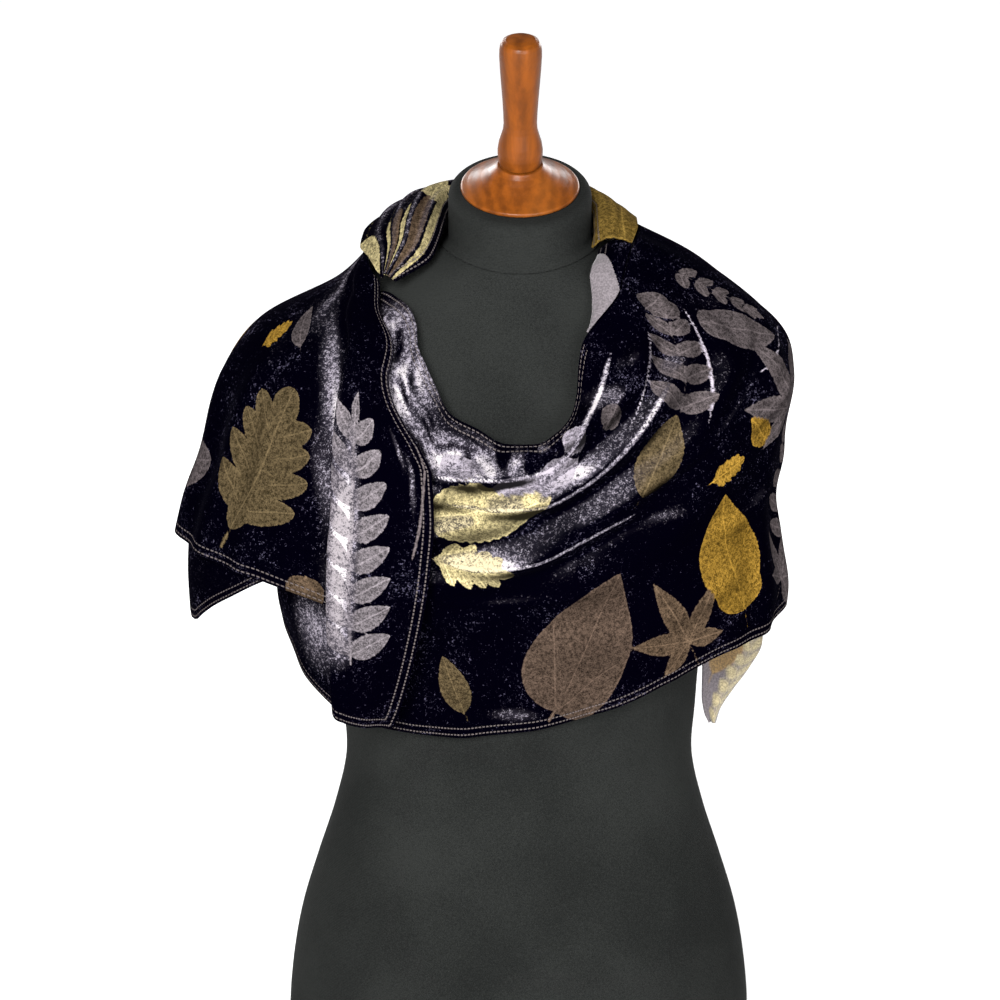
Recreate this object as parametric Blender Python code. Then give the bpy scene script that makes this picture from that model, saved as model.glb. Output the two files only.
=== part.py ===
"""A velvet scarf wrapped round the shoulders of a limbless dress form.

Metres, +Z up. The origin is on the form's flat underside, on its upright axis.
The form faces -Y. Sizes below are millimetres, and MM turns them into metres.
"""

import math

import bmesh
import bpy
import numpy as np

MM = 0.001

# Driving sizes
CLOTH_WALL = 1.8
SEAM_GAP = 0.4
NECK_RADIUS = 54.5
NECK_TOP_HEIGHT = 720.0
NECK_TOP_TILT = math.radians(21.0)
NECK_EDGE_ROUND = 6.0
CAP_RADIUS = 45.0
CAP_EDGE = 3.5
HANDLE_FOOT = 21.0

# Turned handle. Columns: radius, distance along its axis from its foot
HANDLE_PROFILE = (
    (0, 0),
    (15.4, 0),
    (16.6, 5),
    (17.2, 12),
    (16.0, 20),
    (13.6, 27),
    (12.7, 34),
    (13.2, 48),
    (14.3, 66),
    (15.6, 86),
    (15.9, 95),
    (15.0, 101),
    (12.6, 104),
    (0, 105),
)
# Turned cap under it. Columns: radius, distance along the axis from the neck's top
CAP_PROFILE = (
    (0, 0),
    (CAP_RADIUS - 1, 0),
    (CAP_RADIUS, 1),
    (CAP_RADIUS, CAP_EDGE - 1),
    (CAP_RADIUS - 1.5, CAP_EDGE),
    (32, 8.5),
    (20, 17),
    (17.5, HANDLE_FOOT - SEAM_GAP),
    (0, HANDLE_FOOT - SEAM_GAP),
)

# The dress form, from its underside up to the foot of its neck.
# Columns: front height, front reach, back height, back reach, side height, side reach
TORSO_RINGS = (
    (0, 106, 0, 108, 0, 177),
    (14, 113, 14, 116, 14, 184),
    (52, 115, 52, 120, 52, 186),
    (97, 112, 97, 118, 97, 182),
    (140, 107, 140, 112, 140, 174),
    (183, 101, 183, 105, 183, 161),
    (226, 95, 226, 96, 226, 147),
    (269, 92, 269, 90, 269, 137.5),
    (311, 96, 311, 88, 311, 139.5),
    (362, 107, 362, 90, 362, 143),
    (420, 122, 420, 96, 420, 149),
    (472, 129, 472, 104, 475, 157),
    (520, 119, 522, 110, 524, 169),
    (560, 103, 566, 113, 564, 181),
    (594, 87, 602, 110, 594, 182),
    (620, 74, 636, 99, 618, 168),
    (640, 64, 662, 83, 642, 136),
    (654, 58, 680, 68, 661, 98),
    (664, 55.5, 692, 57, 677, 60),
)

# The surface that the cloth lies along: rings let out from the form, from the collar down.
# Right and left are the viewer's, seen from the front. The inner columns are for the stretch
# that crosses the chest, and the outer ones for the end that hangs over it.
# Columns: right height, right reach, left inner height, left inner reach, left outer height,
# left outer reach, front height, front inner reach, front outer reach, back height, back reach
CAPE_RINGS = (
    (725, 60, 712, 60, 716, 62, 692, 60, 62, 722, 60),
    (708, 65, 694, 68, 700, 75, 676, 64, 68, 706, 66),
    (694, 80, 676, 88, 682, 104, 652, 73, 80, 690, 78),
    (663, 137, 644, 136, 648, 140, 613, 95, 106, 652, 103),
    (618, 194, 602, 188, 618, 198, 576, 116, 130, 604, 120),
    (580, 208, 566, 204, 579, 226, 540, 130, 147, 556, 126),
    (521, 199, 516, 199, 521, 242, 500, 137, 154, 508, 124),
    (478, 194, 466, 192, 478, 258, 460, 136, 153, 460, 119),
    (410, 204, 403, 187, 418, 270, 402, 124, 140, 400, 112),
    (340, 198, 335, 175, 350, 268, 326, 104, 119, 330, 106),
    (290, 194, 285, 166, 300, 264, 276, 99, 113, 280, 102),
)

# Front stretch, round the chest from behind the right shoulder to behind the left one
# Columns: azimuth (0 in front, positive to the right), top height, hem height
FRONT_EDGES = (
    (100, 689, 398),
    (88, 689, 397),
    (76, 686, 388),
    (66, 680, 384),
    (57, 672, 380),
    (48, 661, 374),
    (40, 649, 365),
    (33, 640, 356),
    (27, 632, 347),
    (20, 620, 338),
    (15.5, 603, 334),
    (12.5, 583, 331),
    (10.5, 569, 329),
    (7.5, 558, 326),
    (3, 550, 322),
    (-3, 551, 319),
    (-9, 561, 317),
    (-15, 570, 315),
    (-20, 587, 315),
    (-26, 603, 315),
    (-31, 614, 316),
    (-36, 628, 317),
    (-42, 638, 319),
    (-49, 644, 322),
    (-58, 648, 330),
    (-67, 640, 344),
    (-77, 618, 362),
    (-88, 600, 384),
    (-100, 592, 400),
)

# Folds that swing across the chest
# Columns: right end azimuth, left end azimuth, right end height, left end height, sag,
# half width, lift
CHEST_SWAGS = (
    (46, -34, 655, 512, 36, 11, 13),
    (52, -44, 640, 478, 46, 12, 12),
    (60, -46, 628, 436, 52, 15, 11),
    (66, -34, 560, 412, 38, 20, 5),
    (84, 30, 640, 520, 10, 16, 4),
)

# Folds that fall down a stretch
# Columns: top height, bottom height, top azimuth, bottom azimuth, half width, lift
FRONT_FALLS = (
    (640, 430, 72, 66, 15, 5),
    (600, 380, 88, 84, 14, 4),
)
BACK_FALLS = (
    (690, 405, 128, 118, 18, 7),
    (680, 400, 152, 146, 20, 6),
    (690, 398, 178, 180, 18, 7),
    (680, 405, 204, 210, 20, 6),
    (680, 425, 232, 238, 18, 7),
)
BACK_SWAGS = (
    (118, 242, 610, 610, 60, 16, 5),
    (124, 236, 560, 560, 62, 18, 5),
)

# Left end, hanging over the chest stretch: its inner long edge, down from the shoulder
# Columns: height, distance left of the axis
LEFT_END_EDGE = (
    (690, 104),
    (656, 104),
    (626, 111),
    (598, 109),
    (581, 101),
    (566, 90),
    (548, 75),
    (532, 66),
    (498, 64),
    (467, 66),
    (435, 70),
    (386, 79),
    (343, 90),
    (327, 96),
)
# Its one deep pleat. Columns: height, azimuth of the fold, overlap, step, lift of the inner edge
LEFT_END_PLEAT = (
    (690, -86, -40, 2, 2),
    (660, -70, -36, 4, 3),
    (620, -42, -30, 8, 4),
    (579, -35, -16, 11, 3),
    (520, -32, 2, 12, 3),
    (450, -30, 18, 13, 3),
    (380, -29, 30, 14, 2),
    (320, -29, 34, 14, 2),
)
# Its short edge. Columns: share of the way across, height
LEFT_END_HEM = (
    (0.00, 327),
    (0.30, 337),
    (0.42, 378),
    (0.55, 412),
    (0.64, 433),
    (0.75, 446),
    (0.88, 454),
    (1.00, 459),
)
# Its end up at the pinch, under the collar. Columns: share of the way across, height
LEFT_END_TOP = (
    (0.00, 656),
    (0.15, 663),
    (0.30, 670),
    (0.55, 677),
    (0.80, 683),
    (1.00, 689),
)
LEFT_END_FALLS = (
    (640, 440, -62, -66, 13, 5),
    (620, 430, -84, -80, 16, 4),
    (610, 470, -74, -73, 14, -2),
)
LEFT_END_BACK = -100.0

# Back stretch. Columns: azimuth, top height, hem height
BACK_EDGES = (
    (100, 692, 398),
    (120, 694, 392),
    (150, 697, 388),
    (180, 699, 390),
    (210, 698, 398),
    (240, 697, 424),
    (260, 698, 452),
)

# Collar of gathered cloth round the neck
# Columns: share of the way round from the right, inner x, y and height, crest x, y and height,
# outer x, y and height
COLLAR_ROWS = (
    (0.00, 54, -37, 681, 59, -39, 687, 84, -37, 685),
    (0.10, 56.6, -14, 690, 59, -14, 701, 89, -12, 693),
    (0.20, 56.6, 10, 697, 59, 10, 708, 89, 12, 695),
    (0.31, 45, 38, 702, 48, 41, 717, 70, 60, 693),
    (0.45, 8, 58, 706, 9, 62, 721, 13, 88, 689),
    (0.59, -36, 46, 704, -40, 50, 720, -62, 76, 691),
    (0.69, -55, 20, 698, -62, 22, 716, -100, 42, 694),
    (0.78, -58, -4, 692, -68, -2, 710, -119, 8, 685),
    (0.87, -62, -26, 682, -73, -24, 702, -121, -12, 677.3),
    (0.94, -67, -41, 673, -79, -40, 688, -114, -30, 672.3),
    (1.00, -93, -59, 659.5, -98, -58, 662, -104, -55, 661),
)
# Columns: share of the way across, half width, lift
COLLAR_PLEATS = (
    (0.22, 0.07, 3.5),
    (0.45, 0.07, 5.0),
    (0.66, 0.06, 5.0),
    (0.85, 0.05, 4.0),
)

# Corner of the chest stretch that hangs under the left end. Columns: azimuth, top height, hem height
UNDER_CORNER = (
    (-42, 520, 446),
    (-50, 527, 431),
    (-58, 534, 415),
    (-66, 540, 401),
    (-74, 545, 391),
    (-84, 545, 382),
    (-90, 545, 379),
    (-94.7, 545, 392),
)
UNDER_CORNER_LIFT = -12.0

# Tail of the back hem that shows at the right. Columns: height, inner x, outer x, inner y, outer y
BACK_TAIL = (
    (425, 152, 194.6, 14, 30),
    (396, 150, 193, 14, 29),
    (372, 147, 195, 13, 27),
    (350, 146, 194, 12, 26),
    (330, 146, 184, 11, 24),
    (312, 146, 170, 10, 19),
    (298, 148, 160, 9, 13),
    (289, 152, 157, 8, 10),
)

# Edge of the chest stretch that is turned back at the right of the neckline
# Columns: azimuth of the fold, inner x, y and height
TURNED_EDGE = (
    (68, 60, -24, 677),
    (58, 58, -37, 674),
    (48, 54, -50, 669),
    (40, 50, -60, 654),
    (33, 46, -69, 640),
    (27, 43, -78, 626),
    (20, 40, -88, 614),
)


def along(rows, key, value, at):
    """Column value of a table at the given keys, on a smooth curve through its rows."""
    table = np.array(rows, float)
    order = np.argsort(table[:, key])
    keys = table[order, key]
    values = table[order, value]
    at = np.clip(np.asarray(at, float), keys[0], keys[-1])
    step = np.diff(keys)
    slope = np.diff(values) / step
    tangent = np.empty_like(values)
    tangent[0] = slope[0]
    tangent[-1] = slope[-1]
    same_way = slope[:-1] * slope[1:] > 0
    mean = 2 * slope[:-1] * slope[1:] / np.where(same_way, slope[:-1] + slope[1:], 1)
    tangent[1:-1] = np.where(same_way, mean, 0)
    i = np.clip(np.searchsorted(keys, at, side="right") - 1, 0, len(step) - 1)
    t = (at - keys[i]) / step[i]
    return (
        values[i] * (1 + 2 * t) * (1 - t) ** 2
        + tangent[i] * step[i] * t * (1 - t) ** 2
        + values[i + 1] * t * t * (3 - 2 * t)
        - tangent[i + 1] * step[i] * t * t * (1 - t)
    )


def smooth_column(rows, column, level):
    """Column of a ring table at fractional row numbers, as one smooth curve."""
    values = np.array([row[column] for row in rows], float)
    last = len(values) - 1
    level = np.clip(level, 0, last)
    i = np.clip(np.floor(level).astype(int), 0, last - 1)
    t = level - i
    before = values[np.maximum(i - 1, 0)]
    after = values[np.minimum(i + 2, last)]
    here = values[i]
    there = values[i + 1]
    return (
        here
        + 0.5 * t * (there - before)
        + t * t * (before - 2.5 * here + 2 * there - 0.5 * after)
        + 0.5 * t**3 * (after - before + 3 * (here - there))
    )


def ring_points(azimuth, sides, front, back):
    """Points of a ring from (height, reach) at its left, right, front and back."""
    left, right = sides
    angle = np.radians(azimuth)
    across = np.sin(angle)
    ahead = np.cos(angle)
    side = [np.where(across > 0, r, l) for l, r in zip(left, right)]
    end = [np.where(ahead > 0, f, b) for f, b in zip(front, back)]
    x = side[1] * across
    y = -end[1] * ahead
    z = side[0] * across**2 + end[0] * ahead**2
    return np.stack([x, y, z], axis=-1)


def cape_point(azimuth, level, outer):
    """Point of the surface that the cloth lies along."""
    column = [smooth_column(CAPE_RINGS, c, level) for c in range(len(CAPE_RINGS[0]))]
    right = column[0], column[1]
    left = (column[4], column[5]) if outer else (column[2], column[3])
    front = column[6], column[8] if outer else column[7]
    back = column[9], column[10]
    return ring_points(azimuth, (left, right), front, back)


def cape_level(azimuth, height, outer):
    """Ring number at which the cape surface has the given height."""
    low = np.zeros(np.broadcast(azimuth, height).shape)
    high = np.full(low.shape, len(CAPE_RINGS) - 1.0)
    for _ in range(30):
        middle = (low + high) / 2
        above = cape_point(azimuth, middle, outer)[..., 2] > height
        low = np.where(above, middle, low)
        high = np.where(above, high, middle)
    return (low + high) / 2


def draped(azimuth, height, lift, outer):
    """Points at a distance outside the cape surface, square to it."""
    level = cape_level(azimuth, height, outer)
    turn = 0.5
    step = 0.02
    round_it = cape_point(azimuth + turn, level, outer) - cape_point(azimuth - turn, level, outer)
    down_it = cape_point(azimuth, level + step, outer) - cape_point(azimuth, level - step, outer)
    normal = np.cross(down_it, round_it)
    normal /= np.linalg.norm(normal, axis=-1, keepdims=True)
    return cape_point(azimuth, level, outer) + lift[..., None] * normal


def bump(distance, half_width):
    return np.exp(-((distance / half_width) ** 2))


def fade(share):
    """0 at both ends of a fold and 1 along its middle."""
    return np.clip(np.sin(np.pi * np.clip(share, 0, 1)), 0, 1) ** 0.7


def swags(azimuth, height, rows):
    """Lift of the folds that swing across."""
    total = np.zeros(np.broadcast(azimuth, height).shape)
    for right_end, left_end, right_height, left_height, sag, half_width, lift in rows:
        share = (azimuth - right_end) / (left_end - right_end)
        inside = np.clip(share, 0, 1)
        line = right_height + (left_height - right_height) * inside - 4 * sag * inside * (1 - inside)
        total = total + lift * fade(share) * bump(height - line, half_width)
    return total


def falls(azimuth, height, rows, radius=150.0):
    """Lift of the folds that run down."""
    total = np.zeros(np.broadcast(azimuth, height).shape)
    for top, bottom, top_azimuth, bottom_azimuth, half_width, lift in rows:
        share = (top - height) / (top - bottom)
        line = top_azimuth + (bottom_azimuth - top_azimuth) * np.clip(share, 0, 1)
        arc = np.radians(azimuth - line) * radius
        begun = np.clip(share * 2.5, 0, 1)
        total = total + lift * begun**2 * (3 - 2 * begun) * bump(arc, half_width)
    return total


def material(name, colour, roughness, sheen=0.0):
    made = bpy.data.materials.new(name)
    made.use_nodes = True
    shader = made.node_tree.nodes["Principled BSDF"]
    shader.inputs["Base Color"].default_value = (*colour, 1)
    shader.inputs["Roughness"].default_value = roughness
    shader.inputs["Metallic"].default_value = 0.0
    shader.inputs["Sheen Weight"].default_value = sheen
    return made


def add_object(name, mesh, finish):
    thing = bpy.data.objects.new(name, mesh)
    bpy.context.scene.collection.objects.link(thing)
    mesh.materials.append(finish)
    mesh.shade_smooth()
    return thing


def grid_mesh(name, points):
    """Open mesh of four-sided faces over a grid of points in millimetres."""
    rows, columns = points.shape[:2]
    index = np.arange(rows * columns).reshape(rows, columns)
    faces = np.stack([index[:-1, :-1], index[1:, :-1], index[1:, 1:], index[:-1, 1:]], axis=-1)
    mesh = bpy.data.meshes.new(name)
    mesh.from_pydata((points.reshape(-1, 3) * MM).tolist(), [], faces.reshape(-1, 4).tolist())
    return mesh


def add_cloth(name, points, finish):
    """Cloth wall over a grid of points that run down and then towards the viewer's right."""
    cloth = add_object(name, grid_mesh(name, points), finish)
    wall = cloth.modifiers.new("Wall", "SOLIDIFY")
    wall.thickness = CLOTH_WALL * MM
    wall.offset = 0.0
    wall.use_even_offset = False
    wall.use_rim = True
    return cloth


def torso_points(columns):
    azimuth = np.arange(columns) * 360.0 / columns
    rings = []
    for row in TORSO_RINGS:
        side = row[4], row[5]
        rings.append(ring_points(azimuth, (side, side), (row[0], row[1]), (row[2], row[3])))
    return np.array(rings)


def add_closed_rings(name, rings, finish):
    """Solid through rings from the bottom up, closed at both ends by faces round a middle point."""
    build = bmesh.new()
    loops = [[build.verts.new(point * MM) for point in ring] for ring in rings]
    middles = [build.verts.new(np.mean(ring, axis=0) * MM) for ring in (rings[0], rings[-1])]
    count = len(loops[0])
    for i in range(count):
        j = (i + 1) % count
        for lower, upper in zip(loops, loops[1:]):
            build.faces.new((lower[i], lower[j], upper[j], upper[i]))
        build.faces.new((middles[0], loops[0][j], loops[0][i]))
        build.faces.new((middles[1], loops[-1][i], loops[-1][j]))
    mesh = bpy.data.meshes.new(name)
    build.to_mesh(mesh)
    build.free()
    solid = add_object(name, mesh, finish)
    mesh.set_sharp_from_angle(angle=math.radians(50))
    return solid


def add_turned(name, profile, finish, steps):
    """Turned wood on the neck's tilted axis, from (radius, distance along the axis) rows."""
    build = bmesh.new()
    chain = [build.verts.new((radius * MM, 0, along_axis * MM)) for radius, along_axis in profile]
    for a, b in zip(chain, chain[1:]):
        build.edges.new((a, b))
    bmesh.ops.spin(
        build,
        geom=build.verts[:] + build.edges[:],
        cent=(0, 0, 0),
        axis=(0, 0, 1),
        angle=2 * math.pi,
        steps=steps,
        use_merge=True,
    )
    bmesh.ops.remove_doubles(build, verts=build.verts, dist=0.00001)
    bmesh.ops.recalc_face_normals(build, faces=build.faces)
    mesh = bpy.data.meshes.new(name)
    build.to_mesh(mesh)
    build.free()
    turned = add_object(name, mesh, finish)
    mesh.set_sharp_from_angle(angle=math.radians(40))
    turned.location = (0, 0, (NECK_TOP_HEIGHT + SEAM_GAP) * MM)
    turned.rotation_euler = (NECK_TOP_TILT, 0, 0)
    return turned


def neck_rings(columns, torso_top):
    """Rings up the neck: its foot follows the torso's top ring, and its top is tilted."""
    angle = np.radians(np.arange(columns) * 360.0 / columns)
    circle = np.stack([np.sin(angle), -np.cos(angle)], axis=-1)
    slope = math.tan(NECK_TOP_TILT)
    foot = torso_top + np.array([0, 0, SEAM_GAP])
    root = foot + np.array([0, 0, 5.0])
    root[:, :2] = circle * NECK_RADIUS
    top = root.copy()
    top[:, 2] = NECK_TOP_HEIGHT + slope * circle[:, 1] * NECK_RADIUS - NECK_EDGE_ROUND
    rings = [foot, root, root + (top - root) * 0.5, top]
    for turn in (30, 60, 90):
        inset = NECK_EDGE_ROUND * (1 - math.cos(math.radians(turn)))
        ring = top.copy()
        ring[:, :2] = circle * (NECK_RADIUS - inset)
        ring[:, 2] += NECK_EDGE_ROUND * math.sin(math.radians(turn)) - slope * circle[:, 1] * inset
        rings.append(ring)
    return rings


def add_form(cover, wood):
    columns = 40
    rings = torso_points(columns)
    add_closed_rings("form_torso", rings, cover)
    add_closed_rings("form_neck", neck_rings(columns, rings[-1]), cover)
    add_turned("neck_cap", CAP_PROFILE, wood, 28)
    add_turned("handle", [(radius, HANDLE_FOOT + rise) for radius, rise in HANDLE_PROFILE], wood, 22)


def edge_grid(rows, azimuths, count):
    """Grid of (azimuth, height) between a stretch's top edge and its hem."""
    top = along(rows, 0, 1, azimuths)
    hem = along(rows, 0, 2, azimuths)
    share = np.linspace(0, 1, count)[:, None]
    height = top * (1 - share) + hem * share
    return np.broadcast_to(azimuths, height.shape), height, share


def front_lift(azimuth, height):
    return CLOTH_WALL + swags(azimuth, height, CHEST_SWAGS) + falls(azimuth, height, FRONT_FALLS)


def front_points(count_down=36):
    azimuths = np.array([row[0] for row in reversed(FRONT_EDGES)], float)
    azimuth, height, _ = edge_grid(FRONT_EDGES, azimuths, count_down)
    return draped(azimuth, height, front_lift(azimuth, height), outer=False)


def back_points(count_down=14, columns=30):
    azimuths = np.linspace(100.35, 259.65, columns)
    azimuth, height, share = edge_grid(BACK_EDGES, azimuths, count_down)
    folds = falls(azimuth, height, BACK_FALLS) + swags(azimuth, height, BACK_SWAGS)
    ends = np.clip((azimuth - 100) / 18, 0, 1) * np.clip((260 - azimuth) / 18, 0, 1)
    return draped(azimuth, height, CLOTH_WALL + folds * ends, outer=True)


def left_end_lift(azimuth, height):
    """Lift of the left end behind its pleat, flat where it meets the back stretch."""
    flat = np.clip((azimuth - LEFT_END_BACK) / 14.0, 0, 1)
    return CLOTH_WALL + falls(azimuth, height, LEFT_END_FALLS) * flat


def left_end_points(count_down=20, counts=(9, 8, 14)):
    """Left end: inner edge to fold, the pleat as an S, then round to the back."""
    across = sum(counts)
    share = np.concatenate(
        [
            np.linspace(0, 0.30, counts[0]),
            np.linspace(0.30, 0.55, counts[1] + 2)[1:-1],
            np.linspace(0.55, 1.0, counts[2]),
        ]
    )
    hem = along(LEFT_END_HEM, 0, 1, share)
    top = along(LEFT_END_TOP, 0, 1, share)
    down = np.linspace(0, 1, count_down)[:, None]
    height = top * (1 - down) + hem * down
    edge_x = along(LEFT_END_EDGE, 0, 1, height)
    level = cape_level(np.full(height.shape, -60.0), height, True)
    reach = smooth_column(CAPE_RINGS, 5, level)
    edge = -np.degrees(np.arcsin(np.clip(edge_x / reach, 0, 0.97)))
    fold = np.minimum(along(LEFT_END_PLEAT, 0, 1, height), edge - 6)
    overlap = along(LEFT_END_PLEAT, 0, 2, height)
    step = along(LEFT_END_PLEAT, 0, 3, height)
    edge_lift = along(LEFT_END_PLEAT, 0, 4, height)
    degrees_a_mm = np.degrees(1 / 165.0)
    under = fold + overlap * degrees_a_mm
    swing = (22 + 0.1 * np.abs(overlap)) * degrees_a_mm
    azimuth = np.empty(height.shape)
    lift = np.empty(height.shape)
    first = np.arange(across) < counts[0]
    middle = (np.arange(across) >= counts[0]) & (np.arange(across) < counts[0] + counts[1])
    last = ~first & ~middle
    t = (share[first] / 0.30)[None, :]
    azimuth[:, first] = edge[:, first] * (1 - t) + fold[:, first] * t
    smooth = t * t * (3 - 2 * t)
    lift[:, first] = edge_lift[:, first] * (1 - smooth) + step[:, first] * smooth
    t = ((share[middle] - 0.30) / 0.25)[None, :]
    a, b = fold[:, middle], under[:, middle]
    k = swing[:, middle]
    azimuth[:, middle] = (
        a * (1 - t) ** 3 + 3 * (a - k) * t * (1 - t) ** 2 + 3 * (b + k) * t * t * (1 - t) + b * t**3
    )
    lift[:, middle] = step[:, middle] * (1 - t * t * (3 - 2 * t))
    t = ((share[last] - 0.55) / 0.45)[None, :]
    azimuth[:, last] = under[:, last] * (1 - t) + LEFT_END_BACK * t
    lift += CLOTH_WALL
    lift[:, last] = left_end_lift(azimuth[:, last], height[:, last])
    return draped(azimuth, height, lift, outer=True)[:, ::-1]


def collar_points(across=15, columns=40):
    """Collar: up the neck, over a crest and out to an edge over the other stretches."""
    around = np.linspace(0, 1, columns)
    inner, crest, outer = (
        np.stack([along(COLLAR_ROWS, 0, first + axis, around) for axis in range(3)], axis=-1)[None]
        for first in (1, 4, 7)
    )
    t = np.linspace(0, 1, across)[:, None, None]
    rise = np.array([0.0, 0.0, 1.0])
    weights = ((1 - t) ** 3, 3 * t * (1 - t) ** 2, 3 * t * t * (1 - t), t**3)
    corners = (inner, inner + (crest - inner) * 1.4, crest + (outer - crest) * 0.35 + 5 * rise, outer)
    points = sum(weight * corner for weight, corner in zip(weights, corners))
    gathered = np.clip((around - 0.5) / 0.25, 0, 1)[None, :]
    fan = 0.30 + 0.70 * np.clip((1.0 - around) / 0.25, 0, 1)[None, :]
    pleats = sum(lift * bump(t[..., 0] - middle, width) for middle, width, lift in COLLAR_PLEATS)
    points = points + (pleats * (0.15 + 0.85 * gathered) * fan)[..., None] * rise
    return points


def under_corner_points(count_down=9, columns=11):
    azimuths = np.linspace(-94.7, -42, columns)
    azimuth, height, share = edge_grid(UNDER_CORNER, azimuths, count_down)
    held = left_end_lift(azimuth, height) - CLOTH_WALL - 3.5 * SEAM_GAP
    share = share * share * (3 - 2 * share)
    lift = held * (1 - share) + UNDER_CORNER_LIFT * share
    return draped(azimuth, height, lift, outer=True)


def back_tail_points(count_down=10, columns=8):
    height = np.linspace(425, 289, count_down)[:, None]
    share = np.linspace(0, 1, columns)[None, :]
    inner_x, outer_x, inner_y, outer_y = (along(BACK_TAIL, 0, c, height) for c in range(1, 5))
    ripple = 3 * np.sin(share * 2.2 * math.pi)
    x = inner_x * (1 - share) + outer_x * share
    y = inner_y * (1 - share) + outer_y * share + ripple
    return np.stack([x, y, height + 0 * share], axis=-1)


def turned_edge_points(across=5, columns=14):
    azimuth = np.linspace(20, 68, columns)
    height = along(FRONT_EDGES, 0, 1, azimuth) + SEAM_GAP + 0.4
    fold = draped(azimuth, height, front_lift(azimuth, height), outer=False)
    inner = np.stack([along(TURNED_EDGE, 0, c, azimuth) for c in (1, 2, 3)], axis=-1)
    share = np.linspace(0, 1, across)[:, None, None]
    belly = np.array([0.0, 0.0, 5.0]) * np.sin(math.pi * share)
    return inner * (1 - share) + fold * share + belly


def main():
    for thing in list(bpy.data.objects):
        bpy.data.objects.remove(thing)
    cover = material("form_cover", (0.035, 0.042, 0.038), 0.9)
    wood = material("turned_wood", (0.42, 0.16, 0.04), 0.35)
    velvet = material("velvet", (0.012, 0.01, 0.03), 0.8, sheen=1.0)
    wrong_side = material("velvet_wrong_side", (0.42, 0.38, 0.42), 0.85, sheen=0.3)
    add_form(cover, wood)
    add_cloth("scarf_front", front_points(), velvet)
    add_cloth("scarf_left_end", left_end_points(), velvet)
    add_cloth("scarf_back", back_points(), velvet)
    add_cloth("scarf_collar", collar_points(), velvet)
    add_cloth("scarf_under_corner", under_corner_points(), velvet)
    add_cloth("scarf_back_tail", back_tail_points(), wrong_side)
    add_cloth("scarf_turned_edge", turned_edge_points(), wrong_side)


main()
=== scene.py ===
# Looks of a velvet scarf on a dress form: finishes, fine folds, hems and the printed leaves.
# Sizes are millimetres unless a note says metres; mm turns them into metres.
# Inside a function, own is the dictionary of its piece.
import math

import bpy
import numpy as np
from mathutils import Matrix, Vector


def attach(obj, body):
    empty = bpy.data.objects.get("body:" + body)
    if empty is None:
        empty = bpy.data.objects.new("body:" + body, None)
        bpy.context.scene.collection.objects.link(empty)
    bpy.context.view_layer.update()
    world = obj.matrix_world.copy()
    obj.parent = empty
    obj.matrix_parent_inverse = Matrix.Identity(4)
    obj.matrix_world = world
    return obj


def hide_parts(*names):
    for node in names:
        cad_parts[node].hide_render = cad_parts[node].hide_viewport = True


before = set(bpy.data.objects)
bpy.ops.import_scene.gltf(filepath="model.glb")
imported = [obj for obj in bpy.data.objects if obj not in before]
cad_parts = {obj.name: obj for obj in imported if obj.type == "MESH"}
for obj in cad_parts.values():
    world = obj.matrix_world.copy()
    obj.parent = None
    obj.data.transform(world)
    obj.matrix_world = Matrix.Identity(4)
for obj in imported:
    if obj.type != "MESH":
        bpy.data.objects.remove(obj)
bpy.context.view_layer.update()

mm = 0.001
noHem = 99.0  # mm from a hem, where there is none
farOff = 9.0  # mm from a line or a leaf's middle, where neither shows any more
print("frame loaded:", len(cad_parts), "nodes")

# Surface that the cloth lies along, from the collar down; right and left are the viewer's.
# Columns: right height and reach, left inner height and reach, left outer height and reach,
# front height, front inner and outer reach, back height and reach
capeRings = [
    (725, 60, 712, 60, 716, 62, 692, 60, 62, 722, 60), (708, 65, 694, 68, 700, 75, 676, 64, 68, 706, 66),
    (694, 80, 676, 88, 682, 104, 652, 73, 80, 690, 78),
    (663, 137, 644, 136, 648, 140, 613, 95, 106, 652, 103),
    (618, 194, 602, 188, 618, 198, 576, 116, 130, 604, 120),
    (580, 208, 566, 204, 579, 226, 540, 130, 147, 556, 126),
    (521, 199, 516, 199, 521, 242, 500, 137, 154, 508, 124),
    (478, 194, 466, 192, 478, 258, 460, 136, 153, 460, 119),
    (410, 204, 403, 187, 418, 270, 402, 124, 140, 400, 112),
    (340, 198, 335, 175, 350, 268, 326, 104, 119, 330, 106),
    (290, 194, 285, 166, 300, 264, 276, 99, 113, 280, 102),
]


# smooth curve through a table's rows: cubic pieces whose slope at a row is the mean of its
# neighbours' slopes, or level where they turn
def along(rows, key, value, at):
    table = np.array(rows, float)
    table = table[np.argsort(table[:, key])]
    keys, values = table[:, key], table[:, value]
    at = np.clip(np.asarray(at, float), keys[0], keys[-1])
    step = np.diff(keys)
    slope = np.diff(values) / step
    sameWay = slope[:-1] * slope[1:] > 0
    mean = 2 * slope[:-1] * slope[1:] / np.where(sameWay, slope[:-1] + slope[1:], 1)
    tangent = np.concatenate([[slope[0]], np.where(sameWay, mean, 0), [slope[-1]]])
    i = np.clip(np.searchsorted(keys, at, side="right") - 1, 0, len(step) - 1)
    t = (at - keys[i]) / step[i]
    return (
        values[i] * (1 + 2 * t) * (1 - t) ** 2
        + tangent[i] * step[i] * t * (1 - t) ** 2
        + values[i + 1] * t * t * (3 - 2 * t)
        - tangent[i + 1] * step[i] * t * t * (1 - t)
    )


# one column of a ring table at a fractional row number, on a Catmull-Rom curve
def smoothColumn(rows, column, level):
    values = np.array([row[column] for row in rows], float)
    last = len(values) - 1
    level = np.clip(level, 0, last)
    i = np.clip(np.floor(level).astype(int), 0, last - 1)
    t = level - i
    before, here = values[np.maximum(i - 1, 0)], values[i]
    there, after = values[i + 1], values[np.minimum(i + 2, last)]
    return (
        here
        + 0.5 * t * (there - before)
        + t * t * (before - 2.5 * here + 2 * there - 0.5 * after)
        + 0.5 * t**3 * (after - before + 3 * (here - there))
    )


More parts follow.
